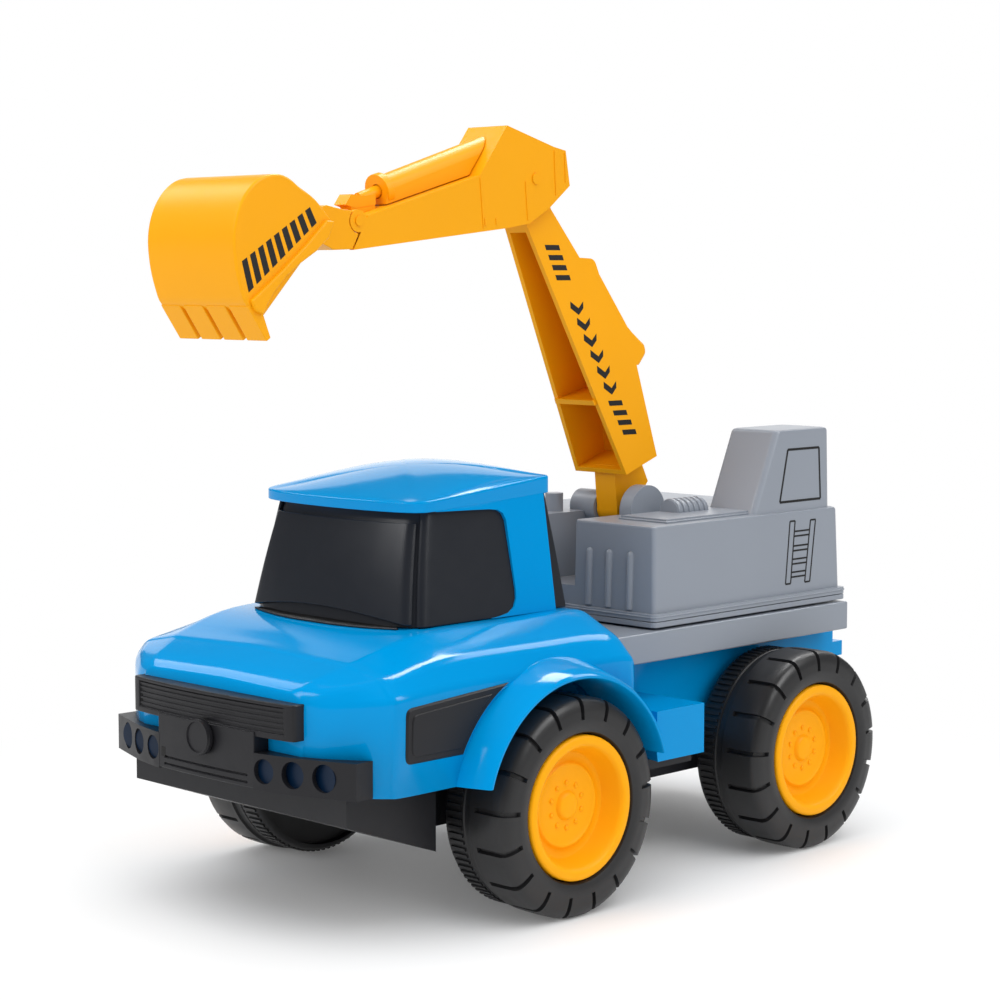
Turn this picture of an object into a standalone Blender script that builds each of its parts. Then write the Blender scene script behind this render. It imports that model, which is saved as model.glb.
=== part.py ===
# Toy digger truck, built as separate solids for Blender 4.5.
# Sizes are millimetres in the truck's own frame: the front axle is at Y 0, forward is -Y, the ground is Z 0.
import math

import bmesh
import bpy

MM = 0.001

# Clearances, how far joined pieces lap, and how far a cutter passes the face it cuts
GAP = 0.35
RUN = 0.08
PRESS = 0.04
LAP = 2.0
OVER = 10.0

# Wheels
WHEEL_R = 45.0
TYRE_W = 36.5
TREAD_T = 5.0
LUGS = 17
LUG_HALF_DEG = 8.8
SLOT_EDGE_DEG = 0.5
LUG_DEPTH = 1.4
LUG_BAND = 20.0
BAND_DROP = 1.6
SHOULDER = 3.2
FACE_H = 7.0
EDGE_ROUND = 1.5
EDGE_DROP = 0.8
SIDEWALL_T = 5.0
BEAD_SET = 1.2
BAND_STEP = 0.6
FRONT_FACE_X = 96.0
REAR_FACE_X = 91.0
WHEELBASE = 161.6
RIM_R = 29.6
RIM_INSET = 0.4
RIM_LIP = 3.2
LIP_ROUND = 1.2
FLANK_STEP = (2.0, 1.8)
DISH_R = 21.5
DISH_DEPTH = 10.2
PLATE_R = 17.0
PLATE_RISE = 1.0
CAP_R = 5.5
CAP_RISE = 2.2
CAP_FOOT = 0.7
RIM_BACK = 12.5
HUB_R = 6.5
BACK_SET = 7.5
BACK_T = 3.0
AXLE_R = 2.5
WHEEL_STEPS = 32

# Chassis tray
TRAY_TOP = 60.0
TRAY_LOW = 36.0
TRAY_X = 48.0
TRAY_REAR = 224.0
TRAY_WALL = 2.5
CHIN_X = 66.0
CHIN_FRONT = -100.0
CHIN_FRONT_Z = 48.5
CHIN_BACK = -53.0
CHIN_BACK_Z = 31.5
CHIN_LAP = 3.0
STRIP_X = 80.0
STRIP_T = 4.4
STRIP_SET = 1.0
BOSS_R = 6.0

# Body shell: section stations as Y, side X, side top Z, shoulder X and Z, crown edge X and Z, crown Z
BODY_STATIONS = (
    (-107.5, 50.0, 93.5, 48.5, 97.5, 45.0, 99.5, 100.5),
    (-105.0, 57.0, 94.5, 54.5, 99.6, 47.0, 101.6, 102.6),
    (-100.5, 64.5, 95.5, 61.0, 101.4, 49.0, 104.0, 105.0),
    (-95.5, 72.0, 96.6, 67.0, 103.0, 51.0, 106.0, 107.2),
    (-90.0, 78.5, 97.6, 71.5, 104.4, 53.0, 108.0, 109.4),
    (-84.0, 81.0, 98.6, 74.0, 105.8, 55.0, 110.0, 111.4),
    (-54.0, 81.0, 100.0, 74.5, 109.4, 57.5, 117.2, 118.0),
    (0.0, 81.0, 100.0, 75.0, 109.6, 58.0, 118.0, 118.0),
    (38.0, 81.0, 100.0, 75.0, 109.0, 57.0, 118.0, 118.0),
    (49.0, 79.5, 98.0, 71.5, 105.5, 52.0, 113.6, 114.4),
    (55.0, 71.0, 95.0, 66.0, 102.0, 48.0, 110.6, 111.6),
)
BODY_WALL = 2.8
WALL_SHARES = (0.6, 0.8, 0.8, 0.5)
WHEEL_CLEAR = 7.0
FLARE_LIP = 2.0
FLARE_RISE = 6.6
FLARE_IN_X = 66.0
FLARE_MID_X = 80.0
FLARE_INSET = 0.5
FLARE_STEPS = 40
FLARE_START_DEG = 4.5
ARCH_IN_X = 55.0

# Cab
CAB_FLOOR = BODY_STATIONS[7][7]
ROOF_LOW = 163.5
ROOF_RISE = 3.6
ROOF_EDGE = 5.6
ROOF_CROWN = 12.0
ROOF_SHOULDER = (0.9, 3.4)
ROOF_TOP = 0.62
ROOF_HOLLOW = (0.86, 0.57)
ROOF_WALL = 3.0
ROOF_PLAN = ((0.0, -50.0), (28.0, -48.5), (44.0, -45.0), (49.0, -40.0), (48.0, -6.0), (44.5, 32.0), (0.0, 34.0))
PILLAR_T = 3.0
PILLAR_LOW = ((52.6, 7.2), (52.6, 35.0))
PILLAR_TOP = ((46.4, 4.2), (46.4, 31.5))
GLASS_LOW = ((0.0, -57.0), (28.0, -55.5), (47.0, -51.5), (51.4, -46.0))
GLASS_TOP = ((0.0, -45.5), (26.0, -44.0), (42.5, -40.5), (45.8, -35.5))
GLASS_BACK = 1.6
GLASS_WALL = 2.5

# Front trim
GRILLE_PLAN = ((0.0, -116.0), (25.0, -115.4), (50.0, -113.0))
GRILLE_LOW = 81.0
GRILLE_HIGH = 95.5
CENTRE_X = 30.0
CENTRE_FRONT = -116.6
CENTRE_BOW = 1.2
BUMPER_PLAN = (
    (0.0, -116.0), (33.8, -114.7), (47.4, -111.7), (60.5, -106.4), (71.4, -100.3), (79.0, -96.6), (76.6, -93.0),
)
BUMPER_LOW = 62.0
BUMPER_HIGH = 74.0
LAMP_X = (34.4, 47.5, 60.8)
LAMP_TURN_DEG = (8.0, 18.0, 27.0)
LAMP_R = 4.2
LAMP_STEPS = 16
BADGE_R = 7.3
BADGE_T = 2.6
BADGE_Z = 77.6

# Side vents, as Y and Z
VENT_PLAN = ((-83.0, 94.2), (-25.0, 98.2), (-55.0, 72.0), (-83.5, 72.4))
VENT_IN = 1.3
VENT_PROUD = 1.2

# Rear frame and deck
FRAME_X = 50.0
FRAME_FRONT = 44.0
FRAME_REAR = 226.0
FRAME_WALL = 3.0
TAIL_REAR = 233.5
TAIL_LOW = 76.0
TAIL_HIGH = 83.0
STEP_X = 87.0
STEP_BACK = 86.0
STEP_LOW = 54.6
STEP_HIGH = 76.0
DECK_X = 64.0
DECK_REAR = 219.0
DECK_LOW = 91.6
DECK_HIGH = 104.7
DECK_WALL = 3.0

# Turret
SWIVEL_Y = 151.0
BASE_X = 62.0
BASE_HALF_Y = 69.0
BASE_LEDGE = 2.2
BASE_ROUND = 3.0
BASE_GAP = 1.0
BASE_T = 2.4
RIM_T = 3.0
POST_R = 14.0
POST_COLLAR = 6.0
RETAINER_R = 19.0
RETAINER_T = 2.7
HOUSING_TOP = 149.6
DRAFT = 1.2
HOUSING_WALL = 2.5
HOUSING_ROUND = 2.0
TOP_ROUND = 1.4
ROUND_SHARE = 0.29
CORNER_STEPS = 3
SLOT_X = 12.6
SLOT_BACK = 153.0
SLOT_FLOOR = 120.0
EAR_R = 11.8
EAR_OUT_X = 20.0
EAR_BOSS_R = 4.6
FAR_EAR_R = 8.0
FAR_EAR_OUT_X = 21.5
BOOM_PIVOT = (125.5, 151.0)
BOOM_PIN_R = 3.0
BOOM_PIN_X = 17.5
OPCAB_IN_X = (29.1, 28.5)
OPCAB_FRONT = (156.0, 173.3)
OPCAB_SIDE_SET = (2.7, 3.3)
OPCAB_BACK_SET = (4.7, 5.3)
OPCAB_TOP_Z = 187.2
OPCAB_ROUND = 3.0
PAD_X = (26.0, 53.0)
PAD_Y = (100.0, 157.0)
PAD_T = 1.7
DRUM_X = 32.0
DRUM_Y = (126.0, 147.5)
DRUM_R = 5.4
BUMPS = ((-21.5, 107.0), (-36.0, 107.0))
BUMP_R = 4.2
BUMP_H = 8.4

# Boom, as Y and Z
BOOM_AXIS = ((126.0, 171.7), (66.0, 282.0))
BOOM_HALF_LOW = 15.9
BOOM_HALF_HIGH = 7.0
BOOM_WALL = 2.3
BOOM_FRONT = ((115.4, 168.0), (60.4, 277.4))
BOOM_BACK = (
    (74.5, 287.0), (91.1, 265.9), (100.3, 265.5), (103.1, 258.6), (121.3, 233.0),
    (131.9, 227.3), (133.0, 222.7), (127.7, 216.9), (136.0, 175.4),
)
BOOM_HOLLOW = (
    (105.0, 166.6), (132.3, 176.8), (124.8, 216.5), (118.4, 232.0), (88.0, 265.0), (73.0, 283.0), (48.0, 270.0),
)
BOOM_RIB = ((92.0, 198.5), (127.5, 207.0), (127.0, 209.4), (92.0, 200.9))
BOOM_HEAD_R = 9.5
BOOM_HEAD_DEG = (200, 165, 130, 95, 60, 25, -10)
RIB_SET = 1.5
TONGUE_X = 6.2
TONGUE_R = 6.0
TONGUE = ((117.6, 171.5), (134.0, 176.5), (141.0, 163.0), (131.2, 151.0), (119.7, 151.0))

# Stick, as Y and Z
STICK_PIVOT = (59.7, 299.8)
STICK_X = 11.9
STICK_WALL = 2.5
STICK_PIN_R = 2.4
STICK_OUTLINE = (
    (-46.4, 268.3), (40.9, 278.1), (55.8, 280.4), (68.5, 287.4), (81.3, 297.3), (78.6, 312.5),
    (71.0, 313.9), (42.0, 321.9), (25.4, 300.1), (-38.5, 282.2),
)
STICK_HOLLOW = (
    (-60.0, 262.0), (-60.0, 292.0), (-37.2, 292.0), (-37.2, 279.9), (23.8, 296.9), (43.2, 319.0),
    (70.4, 311.4), (76.4, 310.2), (78.9, 296.5), (86.0, 288.0), (70.0, 262.0),
)
RAM_AT = 18.1
RAM_LEN = 65.6
RAM_RISE = (5.73, 7.72)
RAM_R = 5.8
COLLAR_R = 7.2
COLLAR_T = 3.4
RAM_BORE_DEPTH = 6.0
ROD_R = 2.6
ROD_REACH = 11.0
NOSE_X = 3.6
NOSE = ((-43.2, 286.7), (-40.0, 291.0), (-32.5, 290.6), (-26.6, 291.3), (-26.6, 287.0), (-38.0, 285.3))

# Bucket, as Y and Z
BUCKET_PIVOT = (-43.5, 280.0)
BUCKET_X = 27.0
BUCKET_WALL = 2.4
BUCKET_PIN_R = 2.0
PIN_PROUD = 0.6
STICK_EAR_R = 4.6
EAR_SET = 0.01
BUCKET_OUTER = (
    (-71.0, 279.5), (-79.5, 287.6), (-87.5, 292.2), (-93.0, 295.6), (-98.8, 296.8), (-106.5, 295.2), (-113.0, 290.4),
    (-117.8, 283.0), (-120.2, 273.5), (-119.6, 263.0), (-117.2, 253.5), (-113.8, 246.5), (-106.0, 242.5),
)
BUCKET_INNER = (
    (-75.0, 280.0), (-81.2, 285.4), (-88.7, 289.7), (-93.8, 293.0), (-98.8, 294.2), (-105.4, 292.9), (-111.2, 288.7),
    (-115.5, 282.0), (-117.7, 273.2), (-117.1, 263.3), (-114.9, 254.3), (-111.9, 248.5), (-107.6, 246.4),
    (-96.0, 236.0), (-60.0, 270.0),
)
TOOTH = ((-114.0, 246.4), (-104.6, 232.9), (-102.6, 234.2), (-106.4, 243.8), (-111.4, 247.4))
TEETH = 4
TOOTH_GAP = 2.2
LIP = ((-105.2, 241.9), (-70.6, 278.6), (-73.6, 281.6), (-108.2, 244.9))
LIP_PROUD = 1.8
NECK = (
    (-76.0, 283.5), (-60.5, 286.0), (-52.5, 284.3), (-49.6, 280.0), (-48.0, 271.0), (-48.4, 268.6), (-57.0, 268.2),
    (-76.0, 276.5),
)
TONGUE_BAR = ((-54.0, 283.6), (-43.5, 284.0), (-43.5, 276.0), (-54.0, 272.5))

# Screws
SCREW_HEAD_R = 4.0
SCREW_HEAD_T = 2.4
SCREW_R = 1.6
SCREW_LEN = 11.0
SCREW_STEPS = 16
TRAY_SCREWS = ((34.0, 30.0), (34.0, 120.0))

# Colours
BLUE = (0.0, 0.27, 0.80)
YELLOW = (1.0, 0.52, 0.01)
GREY = (0.33, 0.36, 0.42)
BLACK = (0.020, 0.020, 0.022)
GLASS = (0.012, 0.012, 0.015)
TYRE = (0.014, 0.014, 0.015)
STEEL = (0.55, 0.56, 0.58)

FACET = math.cos(math.radians(LUG_HALF_DEG))
HUB_END = TYRE_W - BACK_SET
ARCH_R = WHEEL_R + WHEEL_CLEAR
FLARE_RIM_R = ARCH_R + FLARE_LIP
FLARE_R = ARCH_R + FLARE_RISE
FLARE_OUT_X = FRONT_FACE_X - FLARE_INSET
HOUSING_X = BASE_X - BASE_LEDGE
HOUSING_HALF_Y = BASE_HALF_Y - BASE_LEDGE
FRONT_Y = BUCKET_OUTER[8][0]
CENTRE_Y = (FRONT_Y + TAIL_REAR) / 2


def clear_scene():
    for item in list(bpy.data.objects):
        bpy.data.objects.remove(item, do_unlink=True)


def new_collection(name, hidden):
    group = bpy.data.collections.new(name)
    bpy.context.scene.collection.children.link(group)
    group.hide_render = hidden
    return group


def make_root():
    root = bpy.data.objects.new("truck_root", None)
    root.location = (0.0, -CENTRE_Y * MM, 0.0)
    PARTS.objects.link(root)
    return root


def material(name, colour, roughness, metallic):
    made = bpy.data.materials.new(name)
    made.use_nodes = True
    shader = made.node_tree.nodes["Principled BSDF"]
    shader.inputs["Base Color"].default_value = (*colour, 1.0)
    shader.inputs["Roughness"].default_value = roughness
    shader.inputs["Metallic"].default_value = metallic
    return made


def mesh_object(name, points, faces, pivot=(0.0, 0.0, 0.0)):
    """A closed mesh whose origin sits at pivot; points are millimetres in the truck's frame."""
    build = bmesh.new()
    corners = [build.verts.new([(c - p) * MM for c, p in zip(point, pivot)]) for point in points]
    for face in faces:
        build.faces.new([corners[i] for i in face])
    bmesh.ops.recalc_face_normals(build, faces=build.faces)
    data = bpy.data.meshes.new(name)
    build.to_mesh(data)
    build.free()
    made = bpy.data.objects.new(name, data)
    made.location = [p * MM for p in pivot]
    made.parent = ROOT
    return made


def node(made, skin):
    made.data.materials.append(SKINS[skin])
    PARTS.objects.link(made)
    return made


def helper(made):
    made.hide_render = True
    made.display_type = "WIRE"
    CUTTERS.objects.link(made)
    return made


def combine(target, other, operation):
    step = target.modifiers.new(operation.lower() + "_" + other.name, "BOOLEAN")
    step.operation = operation
    step.solver = "EXACT"
    step.object = helper(other)


def cut(target, other):
    combine(target, other, "DIFFERENCE")


def join(target, other):
    combine(target, other, "UNION")


def loft_faces(rings, count):
    faces = []
    for ring in range(rings - 1):
        for i in range(count):
            j = (i + 1) % count
            faces.append((ring * count + i, ring * count + j, (ring + 1) * count + j, (ring + 1) * count + i))
    return faces


def loft(name, sections, pivot=(0.0, 0.0, 0.0)):
    """A solid through rings of points, all of one count, with flat ends."""
    count = len(sections[0])
    faces = loft_faces(len(sections), count)
    faces.append(tuple(range(count)))
    last = (len(sections) - 1) * count
    faces.append(tuple(range(last, last + count)))
    return mesh_object(name, [p for ring in sections for p in ring], faces, pivot)


def prism_x(name, outline, low, high, pivot=(0.0, 0.0, 0.0)):
    return loft(name, [[(x, y, z) for y, z in outline] for x in (low, high)], pivot)


def prism_z(name, outline, low, high):
    return loft(name, [[(x, y, z) for x, y in outline] for z in (low, high)])


def box(name, low, high, pivot=(0.0, 0.0, 0.0)):
    outline = ((low[1], low[2]), (high[1], low[2]), (high[1], high[2]), (low[1], high[2]))
    return prism_x(name, outline, low[0], high[0], pivot)


def circle(radius, steps, start_deg=0.0):
    angles = [math.radians(start_deg + 360.0 * i / steps) for i in range(steps)]
    return [(radius * math.cos(a), radius * math.sin(a)) for a in angles]


def rod_x(name, centre, radius, low, high, steps=24, pivot=(0.0, 0.0, 0.0)):
    ring = [(centre[0] + a, centre[1] + b) for a, b in circle(radius, steps)]
    return prism_x(name, ring, low, high, pivot)


def rod_z(name, centre, radius, low, high, steps=32):
    ring = [(centre[0] + a, centre[1] + b) for a, b in circle(radius, steps)]
    return prism_z(name, ring, low, high)


def rod_between(name, start, end, radius, steps=24, pivot=(0.0, 0.0, 0.0)):
    """A round rod in the plane X 0 between two points given as Y and Z."""
    length = math.dist(start, end)
    along = ((end[0] - start[0]) / length, (end[1] - start[1]) / length)
    ring = circle(radius, steps)
    sections = [[(a, p[0] - along[1] * b, p[1] + along[0] * b) for a, b in ring] for p in (start, end)]
    return loft(name, sections, pivot)


def mirrored(plan):
    """A closed outline from its half with X at least 0."""
    return list(plan) + [(-x, y) for x, y in reversed(plan) if x > 0]


def grown(outline, grow):
    """A clockwise outline with every edge moved outward by grow."""
    made = []
    for i, (a, b) in enumerate(outline):
        before = outline[i - 1]
        after = outline[(i + 1) % len(outline)]
        first = unit(a - before[0], b - before[1])
        second = unit(after[0] - a, after[1] - b)
        normal = (-first[1] - second[1], first[0] + second[0])
        share = grow / (1.0 + first[0] * second[0] + first[1] * second[1])
        made.append((a + normal[0] * share, b + normal[1] * share))
    return made


def unit(a, b):
    length = math.hypot(a, b)
    return a / length, b / length


def turned(name, profile, axle, face_x, side, steps, closed):
    """A solid turned about an axle: profile is inward distance from the tyre's outer face, then radius."""
    points = []
    rings = []
    for inward, radius in profile:
        x = side * (face_x - inward)
        ring = circle(radius, steps) if radius > 0 else [(0.0, 0.0)]
        rings.append(range(len(points), len(points) + len(ring)))
        points += [(x, axle[0] + a, axle[1] + b) for a, b in ring]
    pairs = list(zip(rings, rings[1:])) + ([(rings[-1], rings[0])] if closed else [])
    faces = []
    for first, second in pairs:
        for i in range(steps):
            j = (i + 1) % steps
            corners = [first[i % len(first)], first[j % len(first)], second[j % len(second)], second[i % len(second)]]
            faces.append(tuple(dict.fromkeys(corners)))
    return mesh_object(name, points, faces, (0.0, *axle))


def tyre_angles():
    """Pairs of angle and whether it lies in a slot, with one lug centred on the ground."""
    pitch = 360.0 / LUGS
    marks = ((-LUG_HALF_DEG, 0), (LUG_HALF_DEG, 0), (LUG_HALF_DEG + SLOT_EDGE_DEG, 1),
             (pitch - LUG_HALF_DEG - SLOT_EDGE_DEG, 1))
    return [(math.radians(-90.0 + pitch * lug + mark), slot) for lug in range(LUGS) for mark, slot in marks]


def tyre(name, axle, face_x, side):
    """The lugged shell of a wheel, open to the inside, where the back disc goes in."""
    top = WHEEL_R / FACET
    bore = (RIM_R + GAP) / FACET
    inside = top - TREAD_T
    band = top - BAND_DROP
    profile = (
        (BEAD_SET, bore, 0), (0.0, top - FACE_H, 0), (EDGE_DROP, top - SHOULDER, LUG_DEPTH),
        (SHOULDER, top, LUG_DEPTH), (LUG_BAND, top, LUG_DEPTH), (LUG_BAND + BAND_STEP, band, 0),
        (TYRE_W - EDGE_ROUND, band, 0), (TYRE_W, band - EDGE_ROUND, 0), (TYRE_W, inside, 0),
        (SIDEWALL_T, inside, 0), (SIDEWALL_T, bore, 0),
    )
    marks = tyre_angles()
    points = []
    for inward, radius, depth in profile:
        for angle, slot in marks:
            r = radius - depth * slot
            points.append((side * (face_x - inward), axle[0] + r * math.cos(angle), axle[1] + r * math.sin(angle)))
    count = len(marks)
    faces = loft_faces(len(profile), count)
    last = (len(profile) - 1) * count
    faces += [(last + i, last + (i + 1) % count, (i + 1) % count, i) for i in range(count)]
    return node(mesh_object(name, points, faces, (0.0, *axle)), "tyre")


def rim(name, axle, face_x, side):
    bore = AXLE_R + PRESS
    cap = DISH_DEPTH - CAP_RISE
    plate = DISH_DEPTH - PLATE_RISE
    lip = RIM_R - RIM_LIP
    profile = (
        (cap, 0.0), (cap, CAP_R), (plate, CAP_R + CAP_FOOT), (plate, PLATE_R - PLATE_RISE), (DISH_DEPTH, PLATE_R),
        (DISH_DEPTH, DISH_R), (RIM_INSET + FLANK_STEP[0], lip - FLANK_STEP[1]), (RIM_INSET, lip),
        (RIM_INSET, RIM_R - LIP_ROUND), (RIM_INSET + LIP_ROUND, RIM_R), (RIM_BACK, RIM_R),
        (RIM_BACK, HUB_R), (HUB_END, HUB_R), (HUB_END, bore), (RIM_BACK, bore), (RIM_BACK, 0.0),
    )
    return node(turned(name, profile, axle, face_x, side, WHEEL_STEPS, False), "rim")


def wheel_back(name, axle, face_x, side):
    hole = AXLE_R + PRESS
    edge = WHEEL_R - TREAD_T * FACET - GAP
    start = HUB_END + GAP
    profile = ((start, hole), (start, edge), (start + BACK_T, edge), (start + BACK_T, hole))
    return node(turned(name, profile, axle, face_x, side, WHEEL_STEPS, True), "tyre")


def axle_rod(name, axle, face_x):
    reach = face_x - RIM_BACK - GAP
    return node(rod_x(name, axle, AXLE_R, -reach, reach, pivot=(0.0, *axle)), "steel")


def wheel_set(name, axle, face_x):
    axle_rod(name + "_axle", axle, face_x)
    for side, hand in ((1, "left"), (-1, "right")):
        tyre(f"{name}_{hand}_tyre", axle, face_x, side)
        rim(f"{name}_{hand}_rim", axle, face_x, side)
        wheel_back(f"{name}_{hand}_back", axle, face_x, side)


def chin():
    outer = ((CHIN_FRONT, TRAY_TOP), (CHIN_FRONT, CHIN_FRONT_Z), (CHIN_BACK, CHIN_BACK_Z), (CHIN_BACK, TRAY_TOP))
    return prism_x("chin", outer, -CHIN_X, CHIN_X)


def chin_hollow():
    inset = TRAY_WALL
    slope = (CHIN_BACK_Z - CHIN_FRONT_Z) / (CHIN_BACK - CHIN_FRONT)
    back = CHIN_BACK + CHIN_LAP / 2
    inner = (
        (CHIN_FRONT + inset, TRAY_TOP - inset), (CHIN_FRONT + inset, CHIN_FRONT_Z + inset),
        (back, CHIN_FRONT_Z + inset + slope * (back - CHIN_FRONT - inset)), (back, TRAY_TOP - inset),
    )
    return prism_x("chin_hollow", inner, inset - CHIN_X, CHIN_X - inset)


def chassis_tray():
    tray = box("chassis_tray", (-TRAY_X, CHIN_BACK - CHIN_LAP, TRAY_LOW), (TRAY_X, TRAY_REAR, TRAY_TOP))
    join(tray, chin())
    strip_y = (FRONT_AXLE[0] + ARCH_R + STRIP_SET, STEP_BACK)
    strip_z = (STEP_LOW - GAP - STRIP_T, STEP_LOW - GAP)
    join(tray, box("strip", (-STRIP_X, strip_y[0], strip_z[0]), (STRIP_X, strip_y[1], strip_z[1])))
    for name, axle, face_x in AXLES:
        reach = face_x - HUB_END - 2.0 * GAP - BACK_T
        join(tray, rod_x(name + "_boss", axle, BOSS_R, -reach, reach))
    cut(tray, chin_hollow())
    low = (TRAY_WALL - TRAY_X, CHIN_BACK - CHIN_LAP / 2, TRAY_LOW - OVER)
    high = (TRAY_X - TRAY_WALL, TRAY_REAR - TRAY_WALL, TRAY_TOP - TRAY_WALL)
    cut(tray, box("tray_hollow", low, high))
    for name, axle, face_x in AXLES:
        cut(tray, rod_x(name + "_hole", axle, AXLE_R + RUN, -face_x, face_x))
    for x, y in screw_places():
        hole_name = f"tray_screw_hole_{x:.0f}_{y:.0f}"
        cut(tray, rod_z(hole_name, (x, y), SCREW_R + RUN, TRAY_LOW, TRAY_TOP + OVER, SCREW_STEPS))
    return node(tray, "black")


def screw_places():
    return [(side * x, y) for x, y in TRAY_SCREWS for side in (1, -1)]


def tray_screws():
    """Screws that hold the rear frame and body posts down to the tray."""
    for index, (x, y) in enumerate(screw_places()):
        screw = rod_z(f"tray_screw_{index + 1}", (x, y), SCREW_R, SCREW_TOP - SCREW_LEN, SCREW_TOP, SCREW_STEPS)
        low = TRAY_TOP - TRAY_WALL - GAP - SCREW_HEAD_T
        join(screw, rod_z(f"tray_screw_head_{index + 1}", (x, y), SCREW_HEAD_R, low, low + SCREW_HEAD_T, SCREW_STEPS))
        node(screw, "steel")


def body_ring(station, inset, low):
    y, side_x, side_z, mid_x, mid_z, edge_x, edge_z, crown_z = station
    top, across, down, edge = [inset * share for share in WALL_SHARES]
    half = (
        (side_x - inset, low), (side_x - inset, side_z - top), (mid_x - across, mid_z - down),
        (edge_x - edge, edge_z - inset), (0.0, crown_z - inset),
    )
    return [(x, y, z) for x, z in half] + [(-x, y, z) for x, z in reversed(half[:-1])]


def flare(name, grow):
    """The ring that stands out round both front wheels, larger all over by grow."""
    profile = (
        (-FLARE_OUT_X - grow, FLARE_RIM_R + grow), (-FLARE_MID_X, FLARE_R + grow), (FLARE_MID_X, FLARE_R + grow),
        (FLARE_OUT_X + grow, FLARE_RIM_R + grow),
    )
    sections = []
    for x, radius in profile:
        ring = circle(radius, FLARE_STEPS, FLARE_START_DEG)
        sections.append([(x, FRONT_AXLE[0] + a, FRONT_AXLE[1] + b) for a, b in ring])
    return loft(name, sections)


def arch_cutter(name, radius, side):
    return rod_x(name, FRONT_AXLE, radius, side * ARCH_IN_X, side * (FLARE_OUT_X + OVER), FLARE_STEPS)


def body_shell():
    base = TRAY_TOP + GAP
    shell = loft("body_shell", [body_ring(s, 0.0, base) for s in BODY_STATIONS])
    hood = flare("flare", 0.0)
    reach_x = FLARE_OUT_X + OVER
    front, back = FRONT_AXLE[0] - FLARE_R - OVER, FRONT_AXLE[0] + FLARE_R + OVER
    low, high = FRONT_AXLE[1] - FLARE_R - OVER, FRONT_AXLE[1] + FLARE_R + OVER
    cut(hood, box("flare_trim", (-reach_x, front, low), (reach_x, back, base)))
    cut(hood, box("flare_core", (-FLARE_IN_X, front, low), (FLARE_IN_X, back, high)))
    inner = [list(s) for s in BODY_STATIONS]
    inner[0][0] += BODY_WALL
    inner[-1][0] += BODY_WALL
    cut(shell, loft("body_hollow", [body_ring(s, BODY_WALL, base - OVER) for s in inner]))
    for side in (1, -1):
        cut(shell, vent_solid(f"vent_pocket_{side}", side, GAP))
    join(shell, hood)
    for side in (1, -1):
        cut(shell, arch_cutter(f"arch_{side}", ARCH_R, side))
    return node(shell, "blue")


def vent_solid(name, side, grow):
    side_x = BODY_STATIONS[6][1]
    outline = grown(VENT_PLAN, grow)
    return prism_x(name, outline, side * (side_x - VENT_IN - grow), side * (side_x + VENT_PROUD + grow))


def side_vents():
    for side, hand in ((1, "left"), (-1, "right")):
        panel = vent_solid(f"side_vent_{hand}", side, 0.0)
        cut(panel, flare(f"vent_clear_{hand}", GAP))
        node(panel, "black")


def roof_z(y):
    front = ROOF_PLAN[0][1]
    return ROOF_LOW + ROOF_RISE * (y - front) / (ROOF_PLAN[-1][1] - front)


def roof_ring(shrink, height):
    middle = (ROOF_PLAN[0][1] + ROOF_PLAN[-1][1]) / 2
    plan = mirrored(ROOF_PLAN)
    return [(x * shrink, middle + (y - middle) * shrink, roof_z(y) + height) for x, y in plan]


def pillar(side):
    rings = []
    for (front, back), height in ((PILLAR_LOW, CAB_FLOOR + GAP), (PILLAR_TOP, None)):
        plan = (front, back, (back[0] - PILLAR_T, back[1]), (front[0] - PILLAR_T, front[1]))
        rings.append([(side * x, y, roof_z(y) + LAP if height is None else height) for x, y in plan])
    return loft(f"pillar_{side}", rings)


def cab_frame():
    share, rise = ROOF_SHOULDER
    sides = [roof_ring(1.0, 0.0), roof_ring(1.0, ROOF_EDGE), roof_ring(share, ROOF_EDGE + rise)]
    frame = loft("cab_frame", sides + [roof_ring(ROOF_TOP, ROOF_CROWN)])
    wide, narrow = ROOF_HOLLOW
    inside = [roof_ring(wide, -OVER), roof_ring(wide, ROOF_EDGE), roof_ring(narrow, ROOF_CROWN - ROOF_WALL)]
    cut(frame, loft("roof_hollow", inside))
    for side in (1, -1):
        join(frame, pillar(side))
    return node(frame, "blue")


def glass_plan(front_points, pillar_points, wall):
    """The windows' outline, or the outline of the space inside walls of that thickness."""
    front, back = pillar_points
    step_x = front[0] - PILLAR_T - GAP - wall
    step_y = front[1] - GAP - wall
    rear = back[1] + GLASS_BACK - wall
    half = [(max(0.0, x - wall), y + wall) for x, y in front_points]
    return mirrored(half + [(half[-1][0], step_y), (step_x, step_y), (step_x, rear), (0.0, rear)])


def glass_solid(name, wall, low):
    rings = [[(x, y, low) for x, y in glass_plan(GLASS_LOW, PILLAR_LOW, wall)]]
    rings.append([(x, y, roof_z(y) - GAP - wall) for x, y in glass_plan(GLASS_TOP, PILLAR_TOP, wall)])
    return loft(name, rings)


def window_insert():
    """One dark moulding for all the windows, open below."""
    base = CAB_FLOOR + GAP
    insert = glass_solid("window_insert", 0.0, base)
    cut(insert, glass_solid("window_hollow", GLASS_WALL, base - LAP))
    return node(insert, "glass")


def nose_plan(grow):
    half = [(0.0, BODY_STATIONS[0][0] - grow)]
    half += [(s[1] + grow, s[0] - grow) for s in BODY_STATIONS[:7]]
    half.append((0.0, BODY_STATIONS[6][0]))
    return mirrored(half)


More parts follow.
